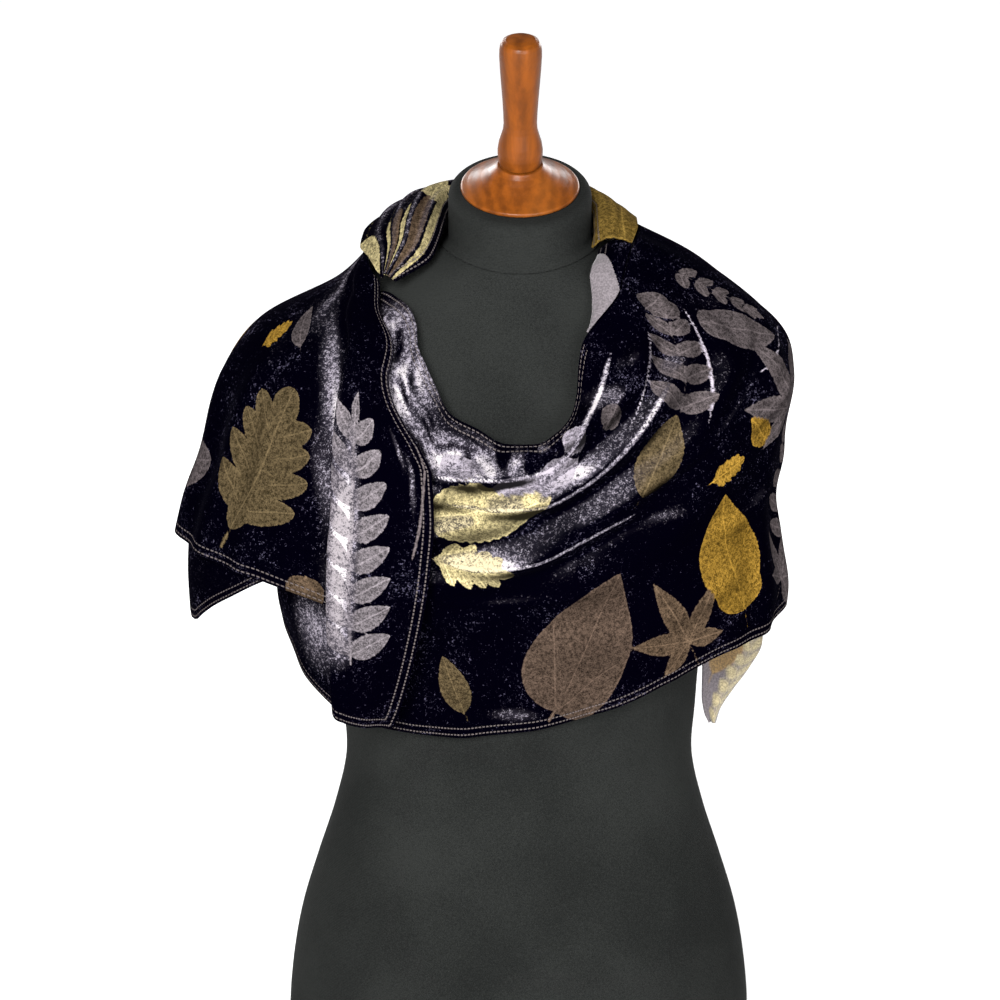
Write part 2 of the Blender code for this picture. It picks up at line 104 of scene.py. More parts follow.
# kept between nought and one
def clamp(value):
    return np.clip(value, 0, 1)


# straight way from one value to another
def blend(first, second, share):
    return first * (1 - share) + second * share


# cubic Bezier curve
def bezier(t, first, second, third, last):
    return (1 - t) ** 3 * first + 3 * t * (1 - t) ** 2 * second + 3 * t * t * (1 - t) * third + t**3 * last


# ring through four (height, reach) pairs: x = reach sin a, y = -reach cos a, and the height
# goes from the side's to the front's or back's as cos squared of a
def ringPoints(azimuth, sides, front, back):
    left, right = sides
    angle = np.radians(azimuth)
    across, ahead = np.sin(angle), np.cos(angle)
    side = [np.where(across > 0, r, l) for l, r in zip(left, right)]
    end = [np.where(ahead > 0, f, b) for f, b in zip(front, back)]
    return np.stack([side[1] * across, -end[1] * ahead, side[0] * across**2 + end[0] * ahead**2], axis=-1)


# point of the cape at a ring number: the ring there, with the left and front reach of the outer
# layer or of the inner one
def capePoint(azimuth, level, outer):
    c = [smoothColumn(capeRings, n, level) for n in range(11)]
    left = (c[4], c[5]) if outer else (c[2], c[3])
    return ringPoints(azimuth, (left, (c[0], c[1])), (c[6], c[8] if outer else c[7]), (c[9], c[10]))


# ring number at a height, by halving
def capeLevel(azimuth, height, outer):
    low = np.zeros(np.broadcast(azimuth, height).shape)
    high = np.full(low.shape, len(capeRings) - 1.0)
    for _ in range(24):
        middle = (low + high) / 2
        above = capePoint(azimuth, middle, outer)[..., 2] > height
        low = np.where(above, middle, low)
        high = np.where(above, high, middle)
    return (low + high) / 2


# cape surface moved out along its normal by lift
def draped(azimuth, height, lift, outer):
    level = capeLevel(azimuth, height, outer)
    roundIt = capePoint(azimuth + 0.5, level, outer) - capePoint(azimuth - 0.5, level, outer)
    downIt = capePoint(azimuth, level + 0.02, outer) - capePoint(azimuth, level - 0.02, outer)
    normal = np.cross(downIt, roundIt)
    normal /= np.linalg.norm(normal, axis=-1, keepdims=True)
    return capePoint(azimuth, level, outer) + lift[..., None] * normal


# how folds begin, end and sit beside one another
foldShape = {
    "fallRadius": 150.0, "edgeRadius": 135.0,  # mm that turn degrees into distances
    "growth": 2.5,  # a fall is full after one part in this of its length
    "endOver": 30,  # mm over which a short fall ends
    "rimFade": (10, 14), "rollFade": (9, 12),  # degrees over which they begin and end
    "groove": (1.7, 0.6),  # below a roll: distance in half widths, share of its lift
    "waves": ((0.21, 0.055, 0.3), (-0.13, 0.083, 1.9), (0.34, -0.031, 4.1), (0.07, 0.121, 2.6)),
    "unevenness": 0.45,
}


# bell curve: e to the minus square of distance over half width
def bump(distance, halfWidth):
    return np.exp(-((distance / halfWidth) ** 2))


# smooth step from nought to one: 3 squares less 2 cubes
def smoothStep(value):
    value = clamp(value)
    return value * value * (3 - 2 * value)


# nought to one over the first fade after begin, and back over the second before end
def between(azimuth, begin, end, fade):
    return clamp((azimuth - begin) / fade[0]) * clamp((end - azimuth) / fade[1])


# each swag is a bell-shaped ridge along a sagging line, faded out at its ends
def swags(azimuth, height, rows):
    total = np.zeros(np.broadcast(azimuth, height).shape)
    for rightEnd, leftEnd, rightHeight, leftHeight, sag, halfWidth, lift in rows:
        share = clamp((azimuth - rightEnd) / (leftEnd - rightEnd))
        line = blend(rightHeight, leftHeight, share) - 4 * sag * share * (1 - share)
        fade = clamp(np.sin(np.pi * share)) ** 0.7
        total = total + lift * fade * bump(height - line, halfWidth)
    return total


# each fall is a bell-shaped ridge along a nearly upright line, growing from its top
def falls(azimuth, height, rows):
    total = np.zeros(np.broadcast(azimuth, height).shape)
    for top, bottom, topAzimuth, bottomAzimuth, halfWidth, lift in rows:
        share = (top - height) / (top - bottom)
        line = blend(topAzimuth, bottomAzimuth, clamp(share))
        grown = smoothStep(share * foldShape["growth"])
        total = total + lift * grown * bump(np.radians(azimuth - line) * foldShape["fallRadius"], halfWidth)
    return total


# falls that also end at their bottom
def shortFalls(azimuth, height, rows):
    total = np.zeros(np.broadcast(azimuth, height).shape)
    for row in rows:
        ended = clamp((height - row[1]) / foldShape["endOver"])
        total = total + falls(azimuth, height, [row]) * ended
    return total


# distance above a line of (azimuth, height) rows, square to it: height difference over the root
# of one plus slope squared
def aboveLine(azimuth, height, line):
    rise = along(line, 0, 1, azimuth + 0.5) - along(line, 0, 1, azimuth - 0.5)
    slope = rise / (math.radians(1) * foldShape["edgeRadius"])
    return (height - along(line, 0, 1, azimuth)) / np.sqrt(1 + slope**2)


# folds beside the neck edge: ridges at set distances square to it
def edgeFolds(azimuth, height, edges, rows):
    distance = -aboveLine(azimuth, height, edges)
    total = np.zeros(distance.shape)
    for away, halfWidth, lift, begin, end in rows:
        inside = between(azimuth, begin, end, foldShape["rimFade"])
        total = total + lift * inside * bump(distance - away, halfWidth)
    return total


# rolled folds: a ridge on each line with a groove below it, and the distance to the nearest line,
# which grows where a line fades out
def rolls(azimuth, height, rows):
    below, depth = foldShape["groove"]
    lift, nearest = np.zeros(azimuth.shape), np.full(azimuth.shape, farOff)
    for line, rise, halfWidth in rows:
        distance = aboveLine(azimuth, height, line)
        inside = between(azimuth, line[0][0], line[-1][0], foldShape["rollFade"])
        groove = bump(distance + below * halfWidth, halfWidth)
        lift = lift + rise * inside * (bump(distance, halfWidth) - depth * groove)
        nearest = np.minimum(nearest, np.abs(distance) + 3 * (1 - inside))
    return lift, nearest


# slow unevenness of hanging cloth: a few sine waves that cross at odd angles
def unevenness(azimuth, height):
    total = sum(np.sin(a * azimuth + h * height + phase) for a, h, phase in foldShape["waves"])
    return foldShape["unevenness"] * total


# grid of azimuths and heights: each column goes from the top edge to the hem in even shares
def edgeGrid(rows, azimuths, count):
    top, hem = along(rows, 0, 1, azimuths), along(rows, 0, 2, azimuths)
    share = np.linspace(0, 1, count)[:, None]
    height = blend(top, hem, share)
    return np.broadcast_to(azimuths, height.shape), height, share


# that grid for a piece's own table
def pieceGrid(look):
    return edgeGrid(look["edges"], np.linspace(look["from"], look["to"], look["columns"]), look["rows"])


# one face between each point of a grid and its next ones down and along
def gridFaces(rows, columns):
    index = np.arange(rows * columns).reshape(rows, columns)
    corners = [index[:-1, :-1], index[1:, :-1], index[1:, 1:], index[:-1, 1:]]
    return np.stack(corners, axis=-1).reshape(-1, 4)


# smooth-shaded object from points in millimetres and lists of corners
def meshFrom(name, points, faces):
    mesh = bpy.data.meshes.new(name)
    mesh.from_pydata((points * mm).tolist(), [], faces)
    mesh.shade_smooth()
    thing = bpy.data.objects.new(name, mesh)
    bpy.context.scene.collection.objects.link(thing)
    return thing


# named value or colour at every point, for the material to read
def addValues(thing, name, values):
    isColour = np.ndim(values) == 2
    made = thing.data.attributes.new(name, "FLOAT_COLOR" if isColour else "FLOAT", "POINT")
    if isColour:
        values = np.concatenate([values, np.ones((len(values), 1))], axis=1)
    made.data.foreach_set("color" if isColour else "value", np.ascontiguousarray(values, np.float32).ravel())


# closed solid through rings from the bottom up, with a pole at each end
def ringSolid(name, rings):
    rows, columns = rings.shape[:2]
    index = np.arange(rows * columns).reshape(rows, columns)
    nextOne = np.roll(index, -1, axis=1)
    sides = np.stack([index[:-1], nextOne[:-1], nextOne[1:], index[1:]], axis=-1).reshape(-1, 4)
    low, high = rows * columns, rows * columns + 1
    lowFan = np.stack([np.full(columns, low), nextOne[0], index[0]], axis=-1)
    highFan = np.stack([np.full(columns, high), index[-1], nextOne[-1]], axis=-1)
    poles = [rings[0].mean(axis=0)[None], rings[-1].mean(axis=0)[None]]
    points = np.concatenate([rings.reshape(-1, 3)] + poles)
    return meshFrom(name, points, sides.tolist() + lowFan.tolist() + highFan.tolist())


# rides on the one body, stands for its node, which it hides, and takes the finish it is given
def finished(piece, node, materials):
    for material in materials:
        piece.data.materials.append(material)
    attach(piece, "root")
    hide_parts(node)


# short way to write a node tree: i0, i1 and so on are inputs by number, others are by name; a step
# goes smoothly between two values, a line fades off on both sides, cells repeat from minus to plus half
class Nodes:
    def __init__(self, name):
        self.material = bpy.data.materials.new(name)
        self.material.use_nodes = True
        self.tree = self.material.node_tree
        self.shader = self.tree.nodes["Principled BSDF"]

    def put(self, kind, settings=None, **inputs):
        node = self.tree.nodes.new(kind)
        for key, value in (settings or {}).items():
            setattr(node, key, value)
        return self.fill(node, inputs)

    def fill(self, node, values):
        for key, value in values.items():
            socket = node.inputs[int(key[1:]) if key[1:].isdigit() else key.replace("_", " ")]
            if isinstance(value, bpy.types.NodeSocket):
                self.tree.links.new(value, socket)
            else:
                socket.default_value = value
        return node

    def finish(self, **values):
        self.fill(self.shader, values)
        return self.material

    def value(self, name, output="Fac"):
        return self.put("ShaderNodeAttribute", {"attribute_name": name}).outputs[output]

    def math(self, how, a, b=0.0, c=0.0):
        return self.put("ShaderNodeMath", {"operation": how}, i0=a, i1=b, i2=c).outputs[0]

    def times(self, a, b):
        return self.math("MULTIPLY", a, b)

    def mixed(self, a, b, share):
        return self.math("ADD", self.times(a, 1 - share), self.times(b, share))

    def scaled(self, colour, gain):
        node = self.put("ShaderNodeVectorMath", {"operation": "SCALE"}, i0=colour, Scale=gain)
        return node.outputs[0]

    def line(self, distance, near, far, peak=1.0):
        return self.step(self.math("ABSOLUTE", distance), near, far, peak, 0.0)

    def step(self, value, low, high, toLow=0.0, toHigh=1.0):
        smooth = {"interpolation_type": "SMOOTHSTEP"}
        node = self.put("ShaderNodeMapRange", smooth, i0=value, i1=low, i2=high, i3=toLow, i4=toHigh)
        return node.outputs[0]

    def noise(self, where, scale, detail=2.0, rough=0.5):
        node = self.put("ShaderNodeTexNoise", None, Vector=where, Scale=scale, Detail=detail, Roughness=rough)
        return node.outputs["Fac"]

    def mix(self, share, a, b):
        return self.put("ShaderNodeMix", {"data_type": "RGBA"}, i0=share, i6=a, i7=b).outputs[2]

    def place(self, scale=(1, 1, 1)):
        coordinate = self.put("ShaderNodeTexCoord").outputs["Object"]
        return self.put("ShaderNodeMapping", None, Vector=coordinate, Scale=scale).outputs[0]

    def relief(self, height, distance, strength=1.0):
        node = self.put("ShaderNodeBump", None, Height=height, Distance=distance, Strength=strength)
        self.finish(Normal=node.outputs[0])

    def cell(self, value, size):
        return self.math("SUBTRACT", self.math("FRACT", self.math("DIVIDE", value, size)), 0.5)


# padded form: rings of its body, then its neck, which leans forward
form = {
    # underside to the foot of the neck. Columns: front height and reach, back height
    # and reach, side height and reach
    "rings": [
        (0, 106, 0, 108, 0, 177), (14, 113, 14, 116, 14, 184), (52, 115, 52, 120, 52, 186),
        (97, 112, 97, 118, 97, 182), (140, 107, 140, 112, 140, 174), (183, 101, 183, 105, 183, 161),
        (226, 95, 226, 96, 226, 147), (269, 92, 269, 90, 269, 137.5), (311, 96, 311, 88, 311, 139.5),
        (362, 107, 362, 90, 362, 143), (420, 122, 420, 96, 420, 149), (472, 129, 472, 104, 475, 157),
        (520, 119, 522, 110, 524, 169), (560, 103, 566, 113, 564, 181), (594, 87, 602, 110, 594, 182),
        (620, 74, 636, 99, 618, 168), (640, 64, 662, 83, 642, 136), (654, 58, 680, 68, 661, 98),
        (664, 55.5, 692, 57, 677, 60),
    ],
    "columns": 180, "rows": 150,
    "neckRadius": 54.5, "neckTop": 720.0, "neckTilt": math.radians(21.0), "edgeRound": 6.0,
    "seam": 0.4,
    # where body meets neck: rise, share left of the body's shape
    "foot": [(1.2, 0.8), (2.8, 0.3), (5.0, 0.0)],
    "stemRings": 10, "edgeRings": 10,
    "darkCover": (0.0053, 0.0058, 0.0055, 1), "lightCover": (0.0124, 0.0133, 0.0125, 1),
    "cloudScale": 9.0, "knitScale": 900.0, "ribScale": 260.0,
}


# dull knitted cover: fine noise for the knit over broad clouds, with faint level ribs
def makeCover():
    own = form
    n = Nodes("form_cover")
    where = n.place()
    cloudy = n.noise(where, own["cloudScale"], 3.0)
    knit = n.noise(where, own["knitScale"], 2.0, 0.6)
    level = {"wave_type": "BANDS", "bands_direction": "Z"}
    rib = n.put("ShaderNodeTexWave", level, Vector=where, Scale=own["ribScale"], Distortion=1.5, Detail=1.0)
    share = n.mixed(cloudy, knit, 0.5)
    n.relief(n.math("ADD", knit, n.times(rib.outputs["Fac"], 0.6)), 0.0003, 0.5)
    tone = n.mix(n.step(share, 0.35, 0.65), own["darkCover"], own["lightCover"])
    return n.finish(Base_Color=tone, Roughness=0.95, Specular_IOR_Level=0.06)


# body: a ring at each level. Neck: the body's last ring turns into a circle, rises to a top plane
# tilted forward, and is rounded over by a quarter circle
def makeForm(cover):
    own = form
    azimuth = np.arange(own["columns"]) * 360.0 / own["columns"]
    level = np.linspace(0, len(own["rings"]) - 1, own["rows"])[:, None]
    c = [smoothColumn(own["rings"], n, level) for n in range(6)]
    side = (c[4], c[5])
    body = ringPoints(azimuth[None, :], (side, side), (c[0], c[1]), (c[2], c[3]))
    finished(ringSolid("form_body", body), "form_torso", [cover])

    angle = np.radians(azimuth)
    circle = np.stack([np.sin(angle), -np.cos(angle)], axis=-1)
    slope = math.tan(own["neckTilt"])
    radius, corner = own["neckRadius"], own["edgeRound"]
    foot = body[-1] + np.array([0, 0, own["seam"]])
    topHeight = own["neckTop"] + slope * circle[:, 1] * radius - corner
    rings = [foot]
    for rise, kept in own["foot"]:
        ring = foot + np.array([0, 0, rise])
        ring[:, :2] = blend(circle * radius, ring[:, :2], kept)
        rings.append(ring)
    stem = rings[-1]
    for share in np.linspace(0, 1, own["stemRings"] + 1)[1:]:
        ring = stem.copy()
        ring[:, 2] = blend(stem[:, 2], topHeight, share)
        rings.append(ring)
    top = rings[-1]
    for turn in np.linspace(0, np.pi / 2, own["edgeRings"] + 1)[1:]:
        ring = top.copy()
        inset = corner * (1 - np.cos(turn))
        ring[:, :2] = circle * (radius - inset)
        ring[:, 2] += corner * np.sin(turn) - slope * circle[:, 1] * inset
        rings.append(ring)
    finished(ringSolid("form_neck_cover", np.array(rings)), "form_neck", [cover])
    print("form made")


# turned wood: lacquered reddish brown. Profiles have columns: radius, distance along the tilted axis
wood = {
    "dark": (0.075, 0.020, 0.003, 1), "light": (0.145, 0.038, 0.004, 1), "pale": (0.210, 0.070, 0.014, 1),
    "grainScale": 160.0, "cloudScale": 14.0, "grainShare": 0.8,
    "steps": 96, "profilePoints": 110,
}
neckCap = {
    "profile": [
        (0.5, 0), (44, 0), (45, 0.6), (45.2, 1.4), (45, 2.4), (44.4, 3.2), (43.2, 3.7), (40.5, 4.6),
        (36, 6.6), (30, 9.7), (24, 13.6), (20, 17), (18.2, 19.2), (17.3, 20.6), (0.5, 20.6),
    ],
    "lift": 0.0, "stretch": (1, 0.25, 1),
    "wave": {"wave_type": "RINGS", "rings_direction": "Z"}, "waveScale": 38.0,
}
handle = {
    "profile": [
        (0.5, 0), (14.6, 0), (15.6, 0.6), (16.5, 4), (17.1, 9), (17.1, 13), (16.2, 19), (14.4, 25),
        (13.0, 30), (12.6, 35), (12.9, 44), (13.6, 56), (14.5, 68), (15.4, 81), (15.9, 91), (15.8, 96),
        (15.2, 100), (13.8, 102.8), (11, 104.3), (6, 104.9), (0.5, 105),
    ],
    "lift": 21.0, "stretch": (1, 1, 0.08), "wave": {"wave_type": "BANDS"}, "waveScale": 22.0,
}


# grain: noise drawn out along the part, faint rings or bands, broad paler clouds, thin lacquer
def makeWood(name, part):
    own = wood
    n = Nodes(name)
    where = n.place(part["stretch"])
    bands = {"Scale": part["waveScale"], "Distortion": 3.5, "Detail": 3.0}
    wave = n.put("ShaderNodeTexWave", part["wave"], Vector=where, **bands)
    grain = n.noise(where, own["grainScale"], 4.0, 0.65)
    broad = n.noise(where, own["cloudScale"], 2.0)
    share = n.mixed(wave.outputs["Fac"], grain, own["grainShare"])
    body = n.mix(n.step(share, 0.25, 0.75), own["dark"], own["light"])
    n.relief(grain, 0.0004, 0.25)
    tone = n.mix(n.step(broad, 0.45, 0.8, 0.0, 0.6), body, own["pale"])
    rough = n.step(grain, 0.2, 0.8, 0.30, 0.45)
    lacquer = {"Specular_IOR_Level": 0.08, "Coat_Weight": 0.06, "Coat_Roughness": 0.22}
    return n.finish(Base_Color=tone, Roughness=rough, **lacquer)


# profile carried round the neck's tilted axis: the circle of each radius, leaned forward
def turnedRings(part):
    table = np.array(part["profile"], float)
    length = np.concatenate([[0], np.cumsum(np.linalg.norm(np.diff(table, axis=0), axis=1))])
    fine = np.unique(np.concatenate([length, np.linspace(0, length[-1], wood["profilePoints"])]))
    radius = np.interp(fine, length, table[:, 0])
    rise = np.interp(fine, length, table[:, 1]) + part["lift"]
    angle = np.arange(wood["steps"]) * 2 * np.pi / wood["steps"]
    x = radius[:, None] * np.sin(angle)
    y = -radius[:, None] * np.cos(angle)
    z = rise[:, None] + 0 * angle
    lean, foot = form["neckTilt"], form["neckTop"] + form["seam"]
    ahead, up = y * np.cos(lean) - z * np.sin(lean), y * np.sin(lean) + z * np.cos(lean) + foot
    return np.stack([x, ahead, up], axis=-1)


# each profile turned, with the grain of its own kind
def makeWoodParts():
    cap = ringSolid("wooden_neck_cap", turnedRings(neckCap))
    finished(cap, "neck_cap", [makeWood("cap_wood", neckCap)])
    knob = ringSolid("wooden_handle", turnedRings(handle))
    finished(knob, "handle", [makeWood("handle_wood", handle)])
    print("wooden cap and handle made")


velvetLook = {
    "pile": (0.0002, 0.0001, 0.0011, 1),
    "speck": (0.045, 0.041, 0.066, 1),
    # colours of the painted sheen highlight on the pile: pale grains, paler where it is strongest, on a dark
    # grey base
    "sheenTone": (0.205, 0.185, 0.220, 1),
    "sheenToneFull": (0.400, 0.370, 0.380, 1),  # painted highlight where the painted sheen is strongest
    "sheenBase": (0.018, 0.016, 0.022, 1),
    "stitch": (0.090, 0.076, 0.074, 1),
    "wrongSide": (0.125, 0.107, 0.117, 1),
    "wrongShade": (0.062, 0.053, 0.058, 1),
    "printSheenGain": 1.7,  # print in the painted sheen highlight, against flat print
    "throughGain": 2.1,  # print seen on the wrong side
    "grainScale": 900.0, "coarseScale": 330.0, "clusterScale": 24.0, "weaveScale": 700.0,
    "speckFrom": (0.760, 0.85),  # noise at which specks begin and are full
    "grainsFrom": (0.59, 0.78), "sheenGrains": 0.21,  # same for the grains of the painted sheen highlight, and the painted sheen's part in it
    "rollLight": 0.85, "rollEdge": (0.3, 1.8),  # painted highlight on the crest of a rolled fold, and where it ends in mm
    "veinGap": 8.0, "stitchRows": (2.6, 7.8), "stitchLength": 3.2,  # mm
    "paintLightWay": (-0.25, -0.62, 0.74),  # way towards the painted light, for painted sheen and painted shade on folds
    # painted sheen highlight: its growth with the painted light, its part on folds that face the painted
    # light and where that begins, and its most
    "sheenByLight": 3.0, "sheenOnFolds": (1.2, 0.08), "sheenMost": 1.2,
    "wall": 1.5, "lift": 1.8,  # mm: wall, and its middle above the form's surface
}


# print: shows where leafEdge is above nought, mottled by the same noise as the pile, with a pale midrib,
# slanted side veins and a paler rim, and painted light and shade from the folds: brighter where a fold faces
# the painted light, darker where it turns away
def printLook(n, coarse, speck):
    edge, across, tint = n.value("leafEdge"), n.value("leafAcross"), n.value("leafColour", "Color")
    leaf = n.step(n.math("MULTIPLY_ADD", n.math("SUBTRACT", coarse, 0.5), 2.4, edge), -0.4, 0.4)
    lean = n.math("ABSOLUTE", across)
    slant = n.math("SUBTRACT", n.value("leafAlong"), n.times(lean, 0.9))
    side = n.line(n.cell(slant, velvetLook["veinGap"]), 0.0, 0.06, 0.5)
    veins = n.math("MAXIMUM", n.step(lean, 0.3, 0.9, 1.0, 0.0), side)
    fill = n.math("ADD", n.step(speck, 0.36, 0.66, 0.25, 1.5), n.step(edge, 0.3, 3.0, 0.25, 0.0))
    # painted light and shade on the print from the folds
    facing = n.math("MULTIPLY_ADD", n.value("shade"), 1.5, 1.0)
    lit = n.math("MAXIMUM", n.times(n.math("ADD", fill, n.times(veins, 0.6)), facing), 0.05)
    return leaf, n.scaled(tint, lit), n.scaled(tint, velvetLook["printSheenGain"])


# velvet: near-black pile with light specks in clusters, the print, a painted sheen highlight of pale grains
# on a dark grey base that thicken where it is strong, and dashed rows of stitches at set distances in from
# the hem
def makeVelvet():
    look = velvetLook
    n = Nodes("velvet")
    where = n.place()
    grain = n.noise(where, look["grainScale"], 2.0, 0.7)
    coarse = n.noise(where, look["coarseScale"], 3.0, 0.7)
    cluster = n.noise(where, look["clusterScale"], 3.0, 0.6)
    speck = n.mixed(grain, coarse, 0.5)
    specks = n.step(n.math("MULTIPLY_ADD", cluster, 0.34, speck), *look["speckFrom"])
    pile = n.mix(specks, look["pile"], look["speck"])
    leaf, printed, bright = printLook(n, coarse, speck)
    cloth = n.mix(leaf, pile, printed)
    # painted highlight along the crest of each rolled fold
    crestHighlight = n.step(n.value("rollIn"), *look["rollEdge"], look["rollLight"], 0.0)
    paintedSheen = n.math("ADD", n.value("paintedSheen"), crestHighlight)
    # painted sheen highlight: a dark grey base, then pale grains, in the print's brightened colour over
    # leaves
    under = n.mix(n.step(paintedSheen, 0.15, 0.75, 0.0, 0.8), cloth, look["sheenBase"])
    grains = n.step(n.math("MULTIPLY_ADD", paintedSheen, look["sheenGrains"], speck), *look["grainsFrom"])
    sheenTone = n.mix(n.step(paintedSheen, 0.75, 1.2), look["sheenTone"], look["sheenToneFull"])
    grainTone = n.mix(n.times(leaf, 0.8), sheenTone, bright)
    cloth = n.mix(n.times(grains, n.step(paintedSheen, 0.03, 0.5)), under, grainTone)
    dash = n.line(n.cell(n.value("hemAlong"), look["stitchLength"]), 0.24, 0.38)
    rows = [n.line(n.math("SUBTRACT", n.value("hemIn"), row), 0.3, 0.8) for row in look["stitchRows"]]
    groove = n.math("MAXIMUM", *rows)
    cloth = n.mix(n.times(n.times(groove, dash), 0.85), cloth, look["stitch"])
    n.relief(n.math("SUBTRACT", n.times(speck, 0.9), n.times(groove, 0.8)), 0.0009, 0.8)
    sheen = {"Sheen_Weight": 0.005, "Sheen_Roughness": 0.3, "Sheen_Tint": (0.72, 0.66, 0.9, 1)}
    return n.finish(Base_Color=cloth, Roughness=0.85, Specular_IOR_Level=0.0, **sheen)


# wrong side: pale plain weave, with the print showing through blurred
def makeWrongSide():
    n = Nodes("velvet_wrong_side")
    where = n.place()
    weave = n.noise(where, velvetLook["weaveScale"], 2.0, 0.6)
    shade = n.mix(n.step(weave, 0.3, 0.7), velvetLook["wrongShade"], velvetLook["wrongSide"])
    n.relief(weave, 0.0005, 0.6)
    through = n.step(n.value("leafEdge"), -2.5, 2.5, 0.0, 0.72)
    gain = n.times(n.step(weave, 0.3, 0.7, 0.45, 1.0), velvetLook["throughGain"])
    tone = n.mix(through, shade, n.scaled(n.value("leafColour", "Color"), gain))
    return n.finish(Base_Color=tone, Roughness=0.85, Sheen_Weight=0.2)


# blades on both sides at each share along, their columns from the turn on worked out from it
def pairs(shares, blade):
    return [(0, s, side * turn, *sizes) for s in shares for side in (1, -1) for turn, *sizes in [blade(s)]]


# A leaf is a bunch of blades. Columns: start across and along, turn from the leaf's tip
# direction, length, half width, roundness, number of teeth, depth of the teeth; sizes are
# shares of the leaf's length
stalk = (0, -0.16, 0, 0.18, 0.012, 1, 0, 0)
leafKinds = {
    "pointed": [(0, 0, 0, 1.0, 0.27, 0.8, 14, 0.05), stalk],
    "heart": pairs((-0.05,), lambda s: (30, 0.62, 0.20, 0.7, 0, 0))
    + [(0, 0, 0, 1.0, 0.33, 1.0, 0, 0), stalk],
    "star": [(0, 0, 0, 1.0, 0.17, 1.1, 12, 0.05), (0, -0.42, 0, 0.44, 0.012, 1, 0, 0)]
    + pairs((0,), lambda s: (58, 0.84, 0.15, 1.1, 10, 0.06))
    + pairs((0,), lambda s: (112, 0.56, 0.12, 1.1, 10, 0.06)),
    "oak": [(0, 0, 0, 1.0, 0.13, 0.7, 0, 0), (0, 0.80, 0, 0.22, 0.10, 0.5, 0, 0), stalk]
    + pairs((0.14, 0.32, 0.50, 0.66),
            lambda s: (60 - 18 * s, 0.36 - 0.16 * abs(s - 0.3), 0.085, 0.5, 0, 0)),
    "round": [(0, 0, 0, 1.0, 0.40, 0.55, 0, 0), stalk],
    "broad": [(0, 0, 0, 1.0, 0.34, 1.0, 26, 0.025)] + pairs((0,), lambda s: (18, 0.5, 0.2, 0.8, 0, 0)),
    "spray": [(0, 0, 0, 1.0, 0.006, 1, 0, 0), (0, 0.94, 0, 0.2, 0.06, 0.6, 0, 0)]
    + pairs((0.12, 0.32, 0.52, 0.72, 0.88),
            lambda s: (62 - 30 * s, 0.30 - 0.12 * s, 0.075 - 0.02 * s, 0.6, 0, 0)),
    "fern": [(0, -0.03, 0, 1.06, 0.010, 0.3, 0, 0), (0, 0.93, 0, 0.12, 0.03, 0.8, 0, 0)]
    + pairs((0.02, 0.14, 0.26, 0.38, 0.50, 0.62, 0.74, 0.86),
            lambda s: (58 - 14 * s, 0.21 - 0.05 * s, 0.050 - 0.012 * s, 0.8, 0, 0)),
    "stem": [(0, 0, 0, 1.0, 0.0125, 0.3, 0, 0)],
}
printColours = {
    "olive": (0.042, 0.0305, 0.0155),
    "gold": (0.112, 0.064, 0.010),
    "amber": (0.094, 0.060, 0.014),
    "mauve": (0.039, 0.0265, 0.0195),
    "lilac": (0.130, 0.116, 0.136),
    "pearl": (0.082, 0.072, 0.078),
    "grey": (0.040, 0.033, 0.034),
    "cream": (0.205, 0.172, 0.088),
    "brown": (0.045, 0.030, 0.019),
}


# flat place of each grid point: distance round along the middle row and down each column
def flatPlaces(points):
    middle = points[points.shape[0] // 2]
    roundIt = np.concatenate([[0], np.cumsum(np.linalg.norm(np.diff(middle, axis=0), axis=-1))])
    down = np.linalg.norm(np.diff(points, axis=0), axis=-1).cumsum(axis=0)
    down = np.concatenate([np.zeros((1, points.shape[1])), down])
    return np.broadcast_to(roundIt, down.shape), down


# nothing printed: every point is far outside a leaf
def plainPrint(points):
    shape = points.shape[:2]
    return np.full(shape, -30.0), np.zeros(shape), np.full(shape, farOff), np.zeros(shape + (3,))


# how far inside the nearest blade each point is: the half width at that share of its length,
# less the distance from its midline; placeOf turns a row's place into a grid point, and level
# names the edge row from which heights are measured
def paintLeaves(points, rows, placeOf=None, level=None):
    u, v = flatPlaces(points)
    if level is not None:
        v = v - v[level] - points[level, :, 2]
    best, alongIt, acrossIt, colour = plainPrint(points)
    for kind, first, second, turn, length, bend, tone in rows:
        if placeOf:
            place = placeOf(first, second)
            first, second = u[place], v[place]
        du, dv = u - first, v - second
        for sx, sy, blade, bladeLength, halfWidth, roundness, teeth, depth in leafKinds[kind]:
            angle = math.radians(turn)
            across = (du * math.cos(angle) + dv * math.sin(angle)) / length - sx
            up = (du * math.sin(angle) - dv * math.cos(angle)) / length - sy
            across = across - bend * (up + sy) ** 2
            angle = math.radians(blade)
            x = across * math.cos(angle) - up * math.sin(angle)
            y = (across * math.sin(angle) + up * math.cos(angle)) / bladeLength
            inside = clamp(y)
            wide = halfWidth * (np.sin(np.pi * inside**0.8) + 1e-9) ** roundness
            if teeth:
                wide = wide * (1 - depth + depth * np.abs(np.sin(np.pi * teeth * inside)) * 1.4)
            past = np.maximum(np.abs(y - 0.5) - 0.5, 0) * bladeLength
            deep = (np.where(past > 0, -past, wide) - np.abs(x)) * length
            nearer = deep > best
            best = np.where(nearer, deep, best)
            alongIt = np.where(nearer, y * bladeLength * length, alongIt)
            acrossIt = np.where(nearer, x * length, acrossIt)
            colour = np.where(nearer[..., None], printColours[tone], colour)
    return best, alongIt, acrossIt, colour


